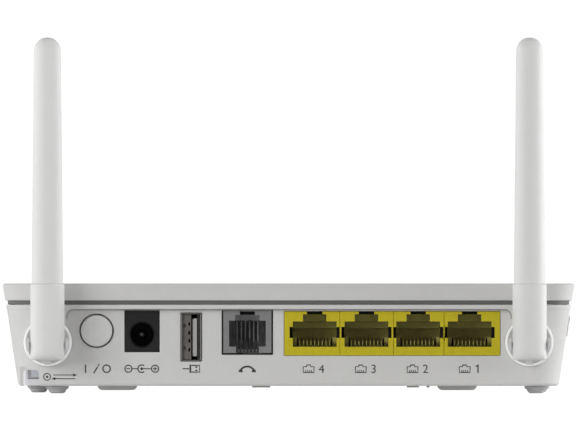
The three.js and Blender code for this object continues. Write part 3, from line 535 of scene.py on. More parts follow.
def make_tray():
    rings = []
    for i in range(7):
        turn = math.pi / 2 * i / 6
        z = BASE_BOTTOM + 0.9 * (1 - math.cos(turn))
        rings.append(plan_ring(inset_at(z) + 0.9 * (1 - math.sin(turn)), z))
    rings.append(plan_ring(inset_at(22.7), 22.7))
    rings.append(plan_ring(inset_at(22.8) - 0.03, 22.78))
    rings.append(plan_ring(inset_at(22.9) - 0.14, 22.86))
    rings.append(plan_ring(0.95, BASE_TOP - 0.25))
    rings.append(plan_ring(1.02, BASE_TOP - 0.08))
    rings.append(plan_ring(1.2, BASE_TOP))
    tray = loft("tray", rings)

    pads = []
    for x in PADS:
        pad = []
        for i in range(7):
            turn = math.pi / 2 * i / 6
            r = 1.3 * math.sin(turn)
            outline = rounded_outline(x - 4.1 - r, x + 4.1 + r, 19 - r, 37 + r, 2.4, 6)
            pad.append([(u, v, 0.7 + 1.4 * (1 - math.cos(turn))) for u, v in outline])
        pads.append(loft("pad", pad))
    for x0, x1 in ((-9.9, -5), (32.3, 35.5), (37.7, 38.4)):
        pads.append(box("rib", x0, x1, -20, 0, 1.5, 2.3))
    combine(tray, pads, "UNION")

    lower = rounded_outline(-71.45, 71.45, PANEL_BACK, FRONT - 5.95, INNER_CORNER, 10)
    upper = rounded_outline(-74.4, 74.4, PANEL_BACK, FRONT - 3, INNER_CORNER, 10)
    rings = [[(u, v, FLOOR_TOP) for u, v in lower], [(u, v, BASE_TOP + 0.2) for u, v in upper]]
    combine(tray, [loft("cavity", rings)])
    bay = [
        box("bay_walls", -72.7, -56.6, REAR + 14.6, REAR + 68, 2.5, 14.9),
        box("slot_walls", -72.7, -66.5, PANEL_BACK - 0.5, REAR + 16, 2.5, 7.25),
    ]
    combine(tray, bay, "UNION")

    tools = []
    recess = rounded_outline(PANEL_LEFT, PANEL_RIGHT, 6.2, PANEL_TOP, 1.9, 10)
    tools.append(prism("recess", recess, "y", REAR - 1, PANEL))
    for x0, x1, z0, z1 in (DC, USB, TEL, LAN):
        rings = []
        for gap, y in ((0.08, PANEL_BACK + 1), (0.08, PANEL + 0.12), (0.2, PANEL), (0.2, REAR)):
            rings.append([(u, y, v) for u, v in rounded_outline(x0 - gap, x1 + gap, z0 - gap, z1 + gap, 0.25, 4)])
        tools.append(loft("port", rings))
    rings = []
    for r, y in ((4.625, PANEL_BACK + 1), (4.625, PANEL + 0.15), (4.775, PANEL), (4.775, REAR)):
        rings.append([(u, y, v) for u, v in circle_outline(POWER_X, POWER_Z, r, 96)])
    tools.append(loft("power_hole", rings))
    for side in (-1, 1):
        x = side * HUB_X
        tools.append(prism("hub_front", circle_outline(x, HUB_Z, 6.64, 96), "y", REAR - 1, REAR + 4.6))
        tools.append(prism("hub_back", circle_outline(x, HUB_Z, 5.25, 72), "y", REAR, PANEL_BACK + 1))
        tools.append(prism("hub_room", circle_outline(x, HUB_Z, 6.5, 48), "y", PANEL_BACK, PANEL_BACK + 4))
    slot_left, slot_right, slot_top = FIBRE_SLOT
    bay_left, bay_right, bay_start, bay_end, bay_top = FIBRE_BAY
    tools.append(prism("slot", rounded_outline(slot_left, slot_right, 0, slot_top, 1, 8), "y", REAR - 1, REAR + 17))
    tools.append(box("bay", bay_left, bay_right, bay_start, bay_end, 0, bay_top))
    tools.append(box("adapter_hole", -71.4, -58.3, REAR + 65, REAR + 69, 3.8, 13.4))
    for y in SIDE_BUTTONS:
        tools.append(prism("side_hole", rounded_outline(y - 6.3, y + 6.3, 15.1, 21.2, 1.6, 8), "x", 70, 80))
    tools.append(prism("pinhole", circle_outline(REAR + 70, 17, 1.2, 32), "x", 70, 80))
    for x, y in SCREWS:
        tools.append(prism("well", circle_outline(x, y, 2.9, 40), "z", 0, 3.4))
        tools.append(prism("well_hole", circle_outline(x, y, 1.6, 24), "z", 0, 6))
    for x, y in FEET.values():
        tools.append(prism("foot_hole", circle_outline(x, y, 1.8, 24), "z", 0, 5))
    for x in KEYHOLES:
        tools.append(prism("key_head", circle_outline(x, 24, 4, 40), "z", 0, 5))
        tools.append(box("key_slot", x - 2.1, x + 2.1, 24, 33, 0, 5))
    for row in range(2):
        for i in range(9):
            x = (i - 4) * 6 + 12.4
            outline = rounded_outline(x - 0.9, x + 0.9, 4 + row * 22, 22 + row * 22, 0.89, 6)
            tools.append(prism("vent", outline, "z", 0, 5))
    combine(tray, tools)
    finish_piece(tray, "housing", "housing_white", ["bottom_shell"], edge=0, angle=28)
    # The walls of the fibre slot and bay take the pale, glowing material: painted light from below.
    tray.data.materials.append(SLOT_INSIDE_LIT)
    for face in tray.data.polygons:
        c = face.center / MM
        in_slot = (
            slot_left - 0.1 < c.x < slot_right + 0.1
            and 0.2 < c.z < slot_top + 0.05
            and c.y < bay_start + 0.2
            and abs(face.normal.y) < 0.5
        )
        in_bay = (
            bay_left - 0.1 < c.x < bay_right + 0.1
            and 0.2 < c.z < bay_top + 0.1
            and bay_start - 0.1 < c.y < bay_end + 0.2
        )
        underside = face.normal.z < -0.5 and c.z < 3.5
        if (in_slot or in_bay) and not underside:
            face.material_index = 1


make_tray()

# ---- Antennas ----


def make_antenna(name, side):
    x = side * HUB_X
    rim, floor, back = REAR + 0.9, REAR + 3.3, REAR + 4.3
    groove = PANEL_BACK + 0.2
    profile = [
        (0, floor), (5.85, floor), (5.85, rim), (6.05, rim - 0.25), (6.35, rim - 0.25), (6.55, rim), (6.55, back),
        (4.9, back), (4.9, groove), (3.9, groove), (3.9, groove + 1.5), (4.9, groove + 1.5), (4.9, groove + 2.6),
        (0, groove + 2.6),
    ]
    cup = lathe("cup", round_profile(profile, 0.28, 4), (x, 0, HUB_Z), "y", 96)
    ear = (
        [(back - 0.5, PIVOT_Z - 2.05), (back - 0.5, PIVOT_Z + 2.05)]
        + arc(PIVOT_Y, PIVOT_Z, 2.05, math.pi / 2, 1.5 * math.pi, 20)
    )
    ear.reverse()
    within = circle_outline(x, HUB_Z, 5.8, 96)
    ears = []
    for a, b in ((4.93, 7), (-7, -4.93)):
        flank = prism("ear", ear, "x", x + a, x + b)
        combine(flank, [prism("within", within, "y", PIVOT_Y - 4, back)], "INTERSECT")
        ears.append(flank)
    tab = box("tab", x - 0.95, x + 0.95, REAR - 0.6, back - 0.5, HUB_Z - 6.1, HUB_Z - 5.05)
    combine(cup, ears + [tab], "UNION")
    combine(cup, [
        prism("bore", circle_outline(x, HUB_Z, 1.6, 40), "y", floor - 1, groove + 4),
        prism("pin_hole", circle_outline(PIVOT_Y, PIVOT_Z, 1.0, 40), "x", x - 8, x + 8),
    ])
    cup.name = f"hub_{name}_cup"
    finish_piece(cup, f"hub_{name}", "antenna_white", [f"antenna_hub_{name}"], edge=0, angle=30)
    # The cup's floor gets a darker, glowing copy of the white as painted shade and light; the rim ring gets a
    # brighter, glowing copy as a painted highlight.
    cup.data.materials.append(HUB_INSIDE_SHADE_AND_GLOW)
    cup.data.materials.append(HUB_RING_HIGHLIGHT)
    for face in cup.data.polygons:
        c = face.center / MM
        radius = math.hypot(c.x - x, c.z - HUB_Z)
        if radius < 5.86 and c.y < floor + 0.05:
            face.material_index = 1
        # Rim ring: painted highlight.
        elif radius < 6.6 and rim - 0.4 < c.y < rim + 0.5:
            face.material_index = 2

    rings = []
    for i in range(11):
        turn = math.pi / 2 * i / 10
        up = 2.2 * (1 - math.cos(turn))
        narrow = 0.35 * (1 - math.sqrt(max(0.0, 1 - max(0.0, 1 - up / 0.35) ** 2)))
        rings.append(oval_ring(x, PIVOT_Y, 4.625 - narrow, 4.5 - 2.2 * (1 - math.sin(turn)), SLEEVE_BOTTOM + up, 96))
    rings.append(oval_ring(x, PIVOT_Y, 4.6, 4.5, SLEEVE_TOP - 0.35, 96))
    rings.append(oval_ring(x, PIVOT_Y, 4.56, 4.46, SLEEVE_TOP - 0.12, 96))
    rings.append(oval_ring(x, PIVOT_Y, 4.42, 4.32, SLEEVE_TOP, 96))
    sleeve = loft(f"sleeve_{name}", rings)
    socket = [oval_ring(x, PIVOT_Y, 3.85, 3.75, z, 48) for z in (20, SLEEVE_TOP + 1)]
    combine(sleeve, [
        loft("socket", socket),
        box("channel", x - 1.4, x + 1.4, PIVOT_Y - 1.4, PIVOT_Y + 1.4, 8, 21),
        prism("hinge", circle_outline(PIVOT_Y, PIVOT_Z, 1.05, 40), "x", x - 8, x + 8),
    ])
    finish_piece(sleeve, f"antenna_{name}", "antenna_white", [f"antenna_sleeve_{name}"], edge=0, angle=45)

    start = SLEEVE_TOP + 0.1
    dome = 92.3
    rings = [oval_ring(x, PIVOT_Y, 3.65, 3.55, z) for z in (20.3, start - 0.02)]
    rings += [oval_ring(x, PIVOT_Y, 4.1, 3.95, start), oval_ring(x, PIVOT_Y, 4.24, 4.09, start + 0.15)]
    for i in range(1, 13):
        t = i / 12
        rings.append(oval_ring(x, PIVOT_Y, 4.25 - 0.6 * t, 4.1 - 0.8 * t, start + 0.15 + (dome - start - 0.15) * t))
    for i in range(1, 14):
        turn = math.pi / 2 * i / 14
        spread = math.cos(turn) ** 0.9
        rings.append(oval_ring(x, PIVOT_Y, 3.65 * spread, 3.3 * spread, dome + (BLADE_TOP - dome) * math.sin(turn)))
    rings.append(oval_ring(x, PIVOT_Y, 0.12, 0.11, BLADE_TOP))
    blade = loft(f"blade_{name}", rings)
    finish_piece(blade, f"antenna_{name}", "antenna_white", [f"antenna_blade_{name}"], edge=0, angle=45)


for side_name, side_sign in (("left", -1), ("right", 1)):
    make_antenna(side_name, side_sign)

# ---- Feet ----
profile = [
    (0, 0), (1.7, 0), (2.25, 0.4), (2.4, 0.95), (2.75, 1.1), (3.05, 1.45), (3.2, 1.95), (1.55, 1.95), (1.55, 3.6),
    (0, 3.6),
]
for foot_name, (foot_x, foot_y) in FEET.items():
    foot = lathe(foot_name + "_pad", round_profile(profile, 0.3, 4), (foot_x, foot_y, 0), "z", 56)
    finish_piece(foot, "housing", "foot_rubber", [foot_name], edge=0, angle=45)

# ---- Power button ----
profile = [
    (0, 1.02), (2.6, 1.06), (3.85, 1.1), (4.25, 0.8), (4.25, -2.8), (5.4, -2.8), (5.4, -4.0), (1.5, -4.0),
    (1.5, -10), (0, -10),
]
profile = round_profile([(r, -t) for r, t in profile], 0.22, 5)
button = lathe("power_button_cap", profile, (POWER_X, PANEL, POWER_Z), "y", 80)
finish_piece(button, "power_button", "button_grey", ["power_button"], edge=0, angle=45)


def remake(node_name, edge=0.1):
    """A finished copy of a CAD node's own shape, with rounded edges."""
    source = nodes[node_name]
    piece = bpy.data.objects.new(node_name + "_detail", source.data.copy())
    bpy.context.scene.collection.objects.link(piece)
    return finish_piece(piece, body_of(node_name), slot_of[node_name], [node_name], edge=edge, segments=2, angle=35)


# ---- Side buttons ----
for name, y in zip(("wlan_button", "wps_button"), SIDE_BUTTONS):
    outline = rounded_outline(y - 6, y + 6, 15.4, 20.9, 1.4, 8)
    cap = prism("cap", outline, "x", 71.4, 80)
    skin = loft("skin", [plan_ring(inset_at(z) - 0.6, z) for z in (10, 23)])
    combine(cap, [skin], "INTERSECT")
    flange = prism("flange", rounded_outline(y - 7, y + 7, 14.4, 21.9, 1, 4), "x", 70.9, 72.1)
    leg = box("leg", 69.7, 71.4, y - 2, y + 2, 9.6, 20.9)
    combine(cap, [flange, leg], "UNION")
    cap.name = name + "_cap"
    finish_piece(cap, name, "housing_white", [name], edge=0.22, segments=3, angle=35)
remake("reset_button")

# ---- Power jack ----
cx = (DC[0] + DC[1]) / 2
jack = box("dc_jack", DC[0], DC[1], PANEL + 0.1, PANEL_BACK + 1, DC[2], DC[3])
combine(jack, [box("block", DC[0], DC[1], PANEL_BACK + 0.2, PANEL + 14, 8.45, DC[3])], "UNION")
profile = [
    (0, REAR), (3.55, REAR), (3.55, PANEL + 0.35), (3.15, PANEL + 0.75), (3.15, PANEL + 10.5), (0, PANEL + 10.5),
]
bore = lathe("bore", profile, (cx, 0, DC_Z), "y", 80)
combine(jack, [bore, prism("pin_hole", circle_outline(cx, DC_Z, 1.15, 32), "y", PANEL + 10, PANEL + 15)])
finish_piece(jack, "housing", "jack_black", ["dc_jack_body"], edge=0.14, segments=3)
# Centre pin, in the darkened nickel that paints in the bore's shade.
profile = [(0, PANEL + 1.4), (0.45, PANEL + 1.5), (0.9, PANEL + 2.3), (1.0, PANEL + 14.6), (0, PANEL + 14.6)]
pin = lathe("dc_pin", round_profile(profile, 0.3), (cx, 0, DC_Z), "y", 40)
finish_piece(pin, "housing", "pin_nickel", ["dc_jack_pin"], edge=0)

# ---- USB socket ----
front = PANEL - 0.3
outline = rounded_outline(USB[0] + 0.06, USB[1] - 0.06, USB[2] + 0.06, USB[3] - 0.06, 0.4, 6)
shell = prism("usb_sleeve", outline, "y", front, front + 17.5)
outline = rounded_outline(USB[0] + 0.35, USB[1] - 0.35, USB[2] + 0.35, USB[3] - 0.35, 0.2, 4)
combine(shell, [prism("inside", outline, "y", front - 1, front + 19)])
finish_piece(shell, "housing", "usb_steel", ["usb_shell"], edge=0.09, segments=2)
tongue = prism("usb_tongue_plate", rounded_outline(-25.95, -24.75, 10, 20.3, 0.25, 4), "y", front + 1.2, front + 12)
finish_piece(tongue, "housing", "usb_tongue_white", ["usb_tongue"], edge=0.12)
# A backing sheet with slots and dimples stands in the plug space, coloured as painted shade of the socket's inside.
back = box("usb_shaded_inside", -28.68, -26.3, front + 0.7, front + 17.1, 9.12, 21.33)
tools = [box("slot", -27.07, -26.6, front, front + 4, z - 0.45, z + 0.45) for z in (18.77, 16.35, 14.2, 11.75)]
profile = [(0, front), (0.5, front), (0.5, front + 1.05), (0, front + 1.3)]
tools += [lathe("dimple", profile, (-28.15, 0, z), "y", 28) for z in (18.3, 12.26)]
combine(back, tools)
finish_piece(back, "housing", "usb_steel", mat=USB_WALL_SHADE, edge=0.06, segments=1)
# Painted shade: a near-black sheet right of the tongue.
usb_shade_side = box("usb_back", -24.7, -23.9, front + 1.4, front + 17.3, 9.12, 21.33)
finish_piece(usb_shade_side, "housing", "usb_steel", mat=USB_DEEP_SHADE, edge=0.05, segments=1)
contacts = [
    box("blade", -26.08, -25.98, front + 2.2, front + 9, z - 0.5, z + 0.5) for z in (18.35, 16.15, 14.1, 11.9)
]
finish_piece(join("usb_contacts", contacts), "housing", "contact_gold", edge=0.04, segments=1)

# ---- Phone socket ----
front = PANEL - 0.15
cx = -11.1
body = box("tel_jack", TEL[0], TEL[1], front, PANEL_BACK + 1, TEL[2], TEL[3])
combine(body, [box("block", TEL[0], TEL[1], PANEL_BACK + 0.2, front + 15, 8.45, TEL[3])], "UNION")
combine(body, [
    box("main", cx - 4.975, cx + 4.975, front - 1, front + 12, 12.65, 19.65),
    box("step", cx - 3.35, cx + 3.35, front - 1, front + 8, 19, 21.2),
    box("top", cx - 2, cx + 2, front - 1, front + 6.5, 21, 22.1),
    box("notch", cx - 3.1, cx + 3.1, front - 1, front + 12, 10.95, 13),
    box("left_gap", TEL[0] - 1, TEL[0] + 0.3, front - 1, front + 1.6, 8, 24),
    box("right_gap", TEL[1] - 0.3, TEL[1] + 1, front - 1, front + 1.6, 8, 24),
    box("upper_gap", TEL[0] - 1, TEL[1] + 1, front - 1, front + 1.6, TEL[3] - 0.25, 24),
    box("lower_gap", TEL[0] - 1, TEL[1] + 1, front - 1, front + 1.6, 8, TEL[2] + 0.3),
])
finish_piece(body, "housing", "tel_grey", ["tel_jack_body"], edge=0.12)
# Walls inside the phone socket: a lighter copy of its grey, painted light.
shade_inside(body, front + 0.3, TEL_INSIDE_LIT)
# Painted shade: the gap round the phone socket's face and its top notch are near black.
body.data.materials.append(GAP_SHADE)
for face in body.data.polygons:
    c = face.center / MM
    in_face = TEL[0] + 0.32 < c.x < TEL[1] - 0.32 and TEL[2] + 0.32 < c.z < TEL[3] - 0.27
    edge_gap = c.y < front + 1.7 and not in_face
    if c.y > front + 0.3 and (edge_gap or abs(c.x - cx) < 2.05 and c.z > 21.3):
        face.material_index = 2
ribs = []
for i in range(6):
    x = cx + (i - 2.5) * 1.12
    ribs.append(box("rib", x - 0.2, x + 0.2, front + 7.2, front + 12, 13.9, 19.6))
finish_piece(join("tel_ribs", ribs), "housing", "tel_grey", mat=TEL_RIB, edge=0.05, segments=1)
wires = []
for i, peak in enumerate((13.0, 14.2, 15.8, 15.8, 14.2, 13.0)):
    x = cx + (i - 2.5) * 0.95
    lean = (cx - x) * 0.25
    rings = []
    stations = ((0.2, 0.9, 11.05, 0), (0.22, 1.4, 12.0, 0), (0.16, 4.5, 12.9, 0.3), (0.05, 8.2, peak, 1))
    for half, along, z, shift in stations:
        u, y = x + lean * shift, front + along
        rings.append([(u - half, y, z), (u + half, y, z), (u + half, y + 0.3, z), (u - half, y + 0.3, z)])
    wires.append(loft("wire", rings))
finish_piece(join("tel_wires", wires), "housing", "contact_nickel", ["tel_contacts"], edge=0.04, segments=2)

# ---- Network sockets ----
body = box("lan_jacks", LAN[0], LAN[1], front, PANEL_BACK + 1, LAN[2], LAN[3])
combine(body, [box("block", LAN[0], LAN[1], PANEL_BACK + 0.2, front + 17, 8.45, LAN[3])], "UNION")
tools = []
for centre in LAN_CENTRES:
    tools.append(box("main", centre - 5.9, centre + 5.9, front - 1, front + 13, 12.6, 19.4))
    tools.append(box("sides", centre - 6.75, centre + 6.75, front - 1, front + 9, 15, 17.9))
    tools.append(box("step", centre - 3.15, centre + 3.15, front - 1, front + 9, 19, 21.35))
    tools.append(box("top", centre - 2.05, centre + 2.05, front - 1, front + 7, 21, 23))
for x in SEAMS:
    tools.append(box("seam", x - 0.05, x + 0.05, front - 1, front + 0.35, LAN[2] - 1, LAN[3] + 1))
combine(body, tools)
finish_piece(body, "housing", "lan_yellow", ["lan_jack_block"], edge=0.12)
# Faces inside the network sockets: the darker yellow, painted shade.
shade_inside(body, front + 0.5, LAN_INSIDE_SHADE)
# Painted shade: the side notches and top notch of each network socket are near black.
body.data.materials.append(GAP_SHADE)
for face in body.data.polygons:
    c = face.center / MM
    nearest = min(abs(c.x - centre) for centre in LAN_CENTRES)
    inside = front + 0.4 < c.y < front + 9.1
    if inside and (5.95 < nearest < 6.8 and 14.9 < c.z < 18 or nearest < 2.1 and c.z > 21.4):
        face.material_index = 2
for index, centre in enumerate(LAN_CENTRES):
    port = 4 - index
    wires = []
    for k in range(8):
        x = centre + (k - 3.5) * 1.02
        side_view = [
            (front + 1.2, 12.62), (front + 1.7, 12.62), (front + 7.4, 14.75), (front + 7.4, 15.05), (front + 7, 15.05),
            (front + 1.2, 12.9),
        ]
        wires.append(prism("wire", side_view, "x", x - 0.14, x + 0.14))
    wires = join(f"lan_wires_{port}", wires)
    # The wires take the dimmer gold, painted shade.
    finish_piece(wires, "housing", "contact_gold", [f"lan_contacts_{port}"], mat=LAN_WIRE_SHADE, edge=0.05, segments=2)
    comb = []
    for k in range(9):
        x = centre + (k - 4) * 1.02
        comb.append(box("tooth", x - 0.12, x + 0.12, front + 2.4, front + 10, 12.62, 14.2))
    for sign in (-1, 1):
        x = centre + sign * 4.6
        # Painted shade: a near-black sliver stands for the shadow in the slit beside each comb.
        slit = box("slit", x - 0.2, x + 0.2, front + 6.4, front + 6.6, 12.8, 15.1)
        finish_piece(slit, "housing", "lan_yellow", mat=GAP_SHADE, edge=0.03, segments=1)
        x0, x1 = sorted((centre + sign * 4.3, centre + sign * 5.85))
        comb.append(box("cheek", x0, x1, front + 6.5, front + 12.9, 12.65, 15.2))
    comb.append(box("shelf", centre - 5.85, centre + 5.85, front + 10.5, front + 12.9, 17.6, 19.35))
    # The comb inside each socket takes the darker yellow as painted shade.
    finish_piece(join(f"lan_comb_{port}", comb), "housing", "lan_yellow", mat=LAN_INSIDE_SHADE, edge=0.05, segments=1)

# ---- Other pieces that can be seen from below or through an opening ----
for name, edge in (("optical_adapter", 0.2), ("optical_dust_cap", 0.35), ("led_light_pipe", 0.1)):
    remake(name, edge)
for i in range(4):
    remake(f"case_screw_{i + 1}", 0.08)
for side_name, side_sign in (("left", -1), ("right", 1)):
    node_name = f"hinge_pin_{side_name}"
    profile = round_profile([(0, -5.55), (0.92, -5.55), (0.92, 5.55), (0, 5.55)], 0.2)
    pin = lathe(f"pin_{side_name}", profile, (side_sign * HUB_X, PIVOT_Y, PIVOT_Z), "x", 40)
    finish_piece(pin, body_of(node_name), slot_of[node_name], [node_name], edge=0)

# ---- Printed marks: plain symbols and socket numbers ----


def surface_y(z):
    """The connector face: upright above, sloping in with the tray's wall below."""
    return max(PANEL, REAR + inset_at(z))


def plate(outline):
    """A thin printed patch that follows the connector face."""
    rings = [[(u, surface_y(v) + off, v) for u, v in outline] for off in (0.06, -0.035)]
    return loft("plate", rings)


def stroke(points, width=0.3):
    """A line of constant width through the points."""
    left, right = [], []
    for i, (u, v) in enumerate(points):
        a = points[max(0, i - 1)]
        b = points[min(len(points) - 1, i + 1)]
        du, dv = b[0] - a[0], b[1] - a[1]
        length = math.hypot(du, dv) or 1.0
        nu, nv = -dv / length * width / 2, du / length * width / 2
        left.append((u + nu, v + nv))
        right.append((u - nu, v - nv))
    return plate(right + left[::-1])


def line(start, end, width=0.3):
    """A straight stroke that follows the face over its bend."""
    return stroke([tuple(Vector(start).lerp(Vector(end), i / 8)) for i in range(9)], width)


def ring_mark(cx, cz, r, width=0.34, start=0.0, end=2 * math.pi):
    return stroke(arc(cx, cz, r, start, end, 36), width)


def number(text, cx, cz, height=2.25):
    """A digit laid on the connector face."""
    curve = bpy.data.curves.new("digit", "FONT")
    curve.body = text
    curve.size = height * MM / 0.69
    curve.extrude = 0.04 * MM
    curve.resolution_u = 6
    curve.align_x = "CENTER"
    holder = bpy.data.objects.new("digit", curve)
    bpy.context.scene.collection.objects.link(holder)
    depsgraph = bpy.context.evaluated_depsgraph_get()
    mesh = bpy.data.meshes.new_from_object(holder.evaluated_get(depsgraph))
    for v in mesh.vertices:
        x, up, out = v.co.x, v.co.y, v.co.z
        z = cz * MM - height * MM / 2 + up
        v.co = (cx * MM + x, surface_y(z / MM) * MM - out + 0.01 * MM, z)
    bpy.data.objects.remove(holder)
    bpy.data.curves.remove(curve)
    piece = bpy.data.objects.new("digit", mesh)
    bpy.context.scene.collection.objects.link(piece)
    return piece


def rect_mark(x0, x1, z0, z1):
    return plate([(x0, z0), (x1, z0), (x1, z1), (x0, z1)])


marks = []
# On and off
cx = -51.95
marks.append(line((cx - 2.94, MARK_Z - 1.12), (cx - 2.94, MARK_Z + 1.12), 0.34))
marks.append(line((cx - 0.75, MARK_Z - 1.25), (cx + 0.75, MARK_Z + 1.25), 0.32))
marks.append(ring_mark(cx + 2.75, MARK_Z, 1.0))
# Direct current, positive centre
cx = -39.7
marks.append(ring_mark(cx - 3.6, MARK_Z, 0.95, 0.3))
marks.append(rect_mark(cx - 4.15, cx - 3.05, MARK_Z - 0.13, MARK_Z + 0.13))
marks.append(rect_mark(cx - 2.62, cx - 1.15, MARK_Z - 0.13, MARK_Z + 0.13))
marks.append(ring_mark(cx, MARK_Z, 1.02, 0.32, math.radians(50), math.radians(310)))
marks.append(plate(circle_outline(cx, MARK_Z, 0.38, 24)))
marks.append(rect_mark(cx + 0.4, cx + 2.62, MARK_Z - 0.13, MARK_Z + 0.13))
marks.append(ring_mark(cx + 3.6, MARK_Z, 0.95, 0.3))
marks.append(rect_mark(cx + 3.05, cx + 4.15, MARK_Z - 0.13, MARK_Z + 0.13))
marks.append(rect_mark(cx + 3.47, cx + 3.73, MARK_Z - 0.55, MARK_Z - 0.14))
marks.append(rect_mark(cx + 3.47, cx + 3.73, MARK_Z + 0.14, MARK_Z + 0.55))
# Plug with two contacts
cx = -26.35
plug = [(cx + 0.1, MARK_Z - 0.9), (cx + 2.3, MARK_Z - 0.9), (cx + 2.3, MARK_Z + 0.9), (cx + 0.1, MARK_Z + 0.9)]
marks.append(stroke(plug, 0.32))
marks.append(line((cx - 0.2, MARK_Z - 1.1), (cx - 0.2, MARK_Z + 1.1), 0.46))
marks.append(rect_mark(cx - 2.3, cx - 0.5, MARK_Z - 0.15, MARK_Z + 0.15))
for dz in (-0.45, 0.45):
    marks.append(rect_mark(cx + 1.15, cx + 1.7, MARK_Z + dz - 0.2, MARK_Z + dz + 0.2))
# Handset
cx = -11.15
marks.append(stroke(arc(cx, MARK_Z - 1.55, 2.15, math.radians(150), math.radians(30), 24), 0.5))
for sign in (-1, 1):
    x = cx + sign * 1.78
    low, high = MARK_Z - 0.95, MARK_Z - 0.3
    marks.append(plate([(x - 0.55, low), (x + 0.55, low), (x + 0.48, high), (x - 0.48, high)]))
# Network sockets: a socket outline and its number
for index, centre in enumerate((7.0, 21.1, 35.1, 49.2)):
    cx = centre - 1.55
    marks.append(stroke([
        (cx - 0.55, MARK_Z + 1.0), (cx + 0.55, MARK_Z + 1.0), (cx + 0.55, MARK_Z + 0.55), (cx + 1.45, MARK_Z + 0.55),
        (cx + 1.45, MARK_Z - 1.0), (cx - 1.45, MARK_Z - 1.0), (cx - 1.45, MARK_Z + 0.55), (cx - 0.55, MARK_Z + 0.55),
        (cx - 0.55, MARK_Z + 1.02),
    ], 0.3))
    for k in range(4):
        x = cx + (k - 1.5) * 0.52
        marks.append(rect_mark(x - 0.1, x + 0.1, MARK_Z - 0.86, MARK_Z - 0.35))
    if index < 3:
        marks.append(number(str(4 - index), centre + 1.95, MARK_Z))
    else:
        marks.append(line((centre + 2.05, MARK_Z - 1.12), (centre + 2.05, MARK_Z + 1.12), 0.34))
        marks.append(line((centre + 1.45, MARK_Z + 0.55), (centre + 1.98, MARK_Z + 1.0), 0.3))
# Fibre: a core in its cladding, and light going both ways
cx, cz = -61.9, 4.45
marks.append(ring_mark(cx - 3.4, cz, 0.92, 0.25))
marks.append(plate(circle_outline(cx - 3.4, cz, 0.33, 24)))
for dz, sign in ((0.5, 1), (-0.5, -1)):
    marks.append(rect_mark(cx - 1.7, cx + 4.2, cz + dz - 0.12, cz + dz + 0.12))
    tip = cx + 4.75 if sign > 0 else cx - 2.25
    head = [(tip - sign * 1.1, cz + dz - 0.42), (tip, cz + dz), (tip - sign * 1.1, cz + dz + 0.42)]
    marks.append(plate(head[::sign]))
mark_piece = join("panel_marks", marks)
dress(mark_piece, INK)
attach(mark_piece, "housing")
# Painted shadow line along the top of the recess and round its corners
edge_line = (
    [(PANEL_LEFT + 0.16, PANEL_TOP - 2.6)]
    + arc(PANEL_LEFT + 1.9, PANEL_TOP - 1.9, 1.74, math.pi, math.pi / 2, 12)
    + arc(PANEL_RIGHT - 1.9, PANEL_TOP - 1.9, 1.74, math.pi / 2, 0, 12)
    + [(PANEL_RIGHT - 0.16, PANEL_TOP - 2.6)]
)
shade = stroke(edge_line, 0.3)
shade.name = "recess_edge_shadow"
dress(shade, RECESS_SHADE)
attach(shade, "housing")

# ---- Floor, light and camera ----


def white_to_camera(tree, lit, seen, output):
    """Lights the object with one shader and shows the camera another, plain white one."""
    path = tree.nodes.new("ShaderNodeLightPath")
    mix = tree.nodes.new("ShaderNodeMixShader")
    tree.links.new(path.outputs["Is Camera Ray"], mix.inputs["Fac"])
    tree.links.new(lit, mix.inputs[1])
    tree.links.new(seen, mix.inputs[2])
    tree.links.new(mix.outputs["Shader"], tree.nodes[output].inputs["Surface"])


corners = [
    (sx * FLOOR_REACH, sy * FLOOR_REACH, FLOOR_LEVEL) for sx, sy in ((-1, -1), (1, -1), (1, 1), (-1, 1))
]
floor = new_object("floor", corners, [(0, 1, 2, 3)])
floor_mat = bpy.data.materials.new("floor_white")
floor_mat.use_nodes = True
tree = floor_mat.node_tree
shader = tree.nodes["Principled BSDF"]
shader.inputs["Base Color"].default_value = (0.75, 0.75, 0.75, 1)
shader.inputs["Roughness"].default_value = 0.9
shader.inputs["Specular IOR Level"].default_value = 0.1
# A soft glow under the object stands in for the light that the floor throws back up
place = tree.nodes.new("ShaderNodeTexCoord")
squeeze = tree.nodes.new("ShaderNodeMapping")
squeeze.inputs["Scale"].default_value = (1, 1.25, 0)
tree.links.new(place.outputs["Object"], squeeze.inputs["Vector"])
reach = tree.nodes.new("ShaderNodeVectorMath")
reach.operation = "LENGTH"
tree.links.new(squeeze.outputs["Vector"], reach.inputs[0])
glow = tree.nodes.new("ShaderNodeMapRange")
glow.interpolation_type = "SMOOTHSTEP"
glow.inputs["From Min"].default_value = BOUNCE_FROM
glow.inputs["From Max"].default_value = BOUNCE_TO
glow.inputs["To Min"].default_value = BOUNCE
glow.inputs["To Max"].default_value = 0.0
tree.links.new(reach.outputs["Value"], glow.inputs["Value"])
shader.inputs["Emission Color"].default_value = (1, 1, 1, 1)
tree.links.new(glow.outputs["Result"], shader.inputs["Emission Strength"])
bright = tree.nodes.new("ShaderNodeEmission")
bright.inputs["Strength"].default_value = SEEN_WHITE
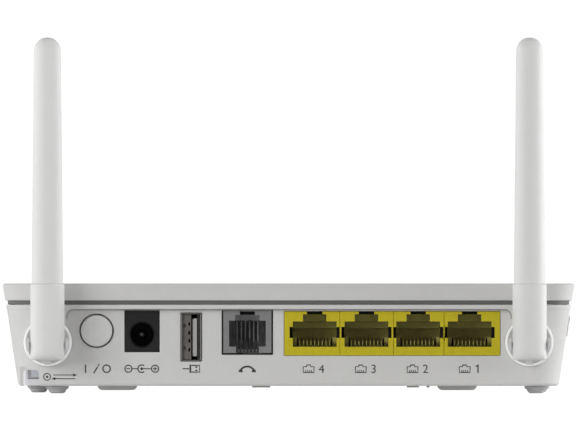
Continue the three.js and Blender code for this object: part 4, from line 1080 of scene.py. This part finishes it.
white_to_camera(tree, shader.outputs["BSDF"], bright.outputs["Emission"], "Material Output")
dress(floor, floor_mat)

world = bpy.data.worlds.new("studio")
bpy.context.scene.world = world
world.use_nodes = True
tree = world.node_tree
background = tree.nodes["Background"]
background.inputs["Color"].default_value = (1, 1, 1, 1)
background.inputs["Strength"].default_value = SKY_LIGHT
seen = tree.nodes.new("ShaderNodeBackground")
seen.inputs["Color"].default_value = (1, 1, 1, 1)
seen.inputs["Strength"].default_value = SEEN_WHITE
white_to_camera(tree, background.outputs["Background"], seen.outputs["Background"], "World Output")


def softbox(name, position, width, height, power):
    """An area light turned towards the middle of the object."""
    data = bpy.data.lights.new(name, "AREA")
    data.shape = "RECTANGLE"
    data.size = width
    data.size_y = height
    data.energy = power
    light = bpy.data.objects.new(name, data)
    bpy.context.scene.collection.objects.link(light)
    light.location = position
    towards = Vector(LIGHT_AIM) - Vector(position)
    light.rotation_euler = towards.to_track_quat("-Z", "Y").to_euler()
    light.visible_camera = False


softbox("left_box", (-0.75, -0.75, 0.2), 0.6, 0.5, 4.7)
softbox("left_rim", (-0.9, 0.2, 0.12), 0.5, 0.5, 3.0)
softbox("right_rim", (0.9, 0.2, 0.14), 0.6, 0.5, 5.0)
softbox("right_side", (0.95, -0.22, 0.15), 0.3, 0.5, 2.6)
softbox("right_box", (0.75, -0.75, 0.2), 0.6, 0.5, 0.6)

camera_data = bpy.data.cameras.new("camera")
camera_data.type = "PERSP"
camera_data.sensor_width = SENSOR
camera_data.lens = SENSOR * CAMERA_DISTANCE / VIEW_WIDTH
camera_data.clip_end = 200
camera_data.clip_start = 0.1
camera = bpy.data.objects.new("camera", camera_data)
bpy.context.scene.collection.objects.link(camera)
camera.location = (0, REAR * MM - CAMERA_DISTANCE, CAMERA_HEIGHT)
camera.rotation_euler = (math.pi / 2 + math.atan((VIEW_MIDDLE - CAMERA_HEIGHT) / CAMERA_DISTANCE), 0, 0)
bpy.context.scene.camera = camera
bpy.context.scene.view_settings.view_transform = "Standard"

bpy.context.view_layer.update()
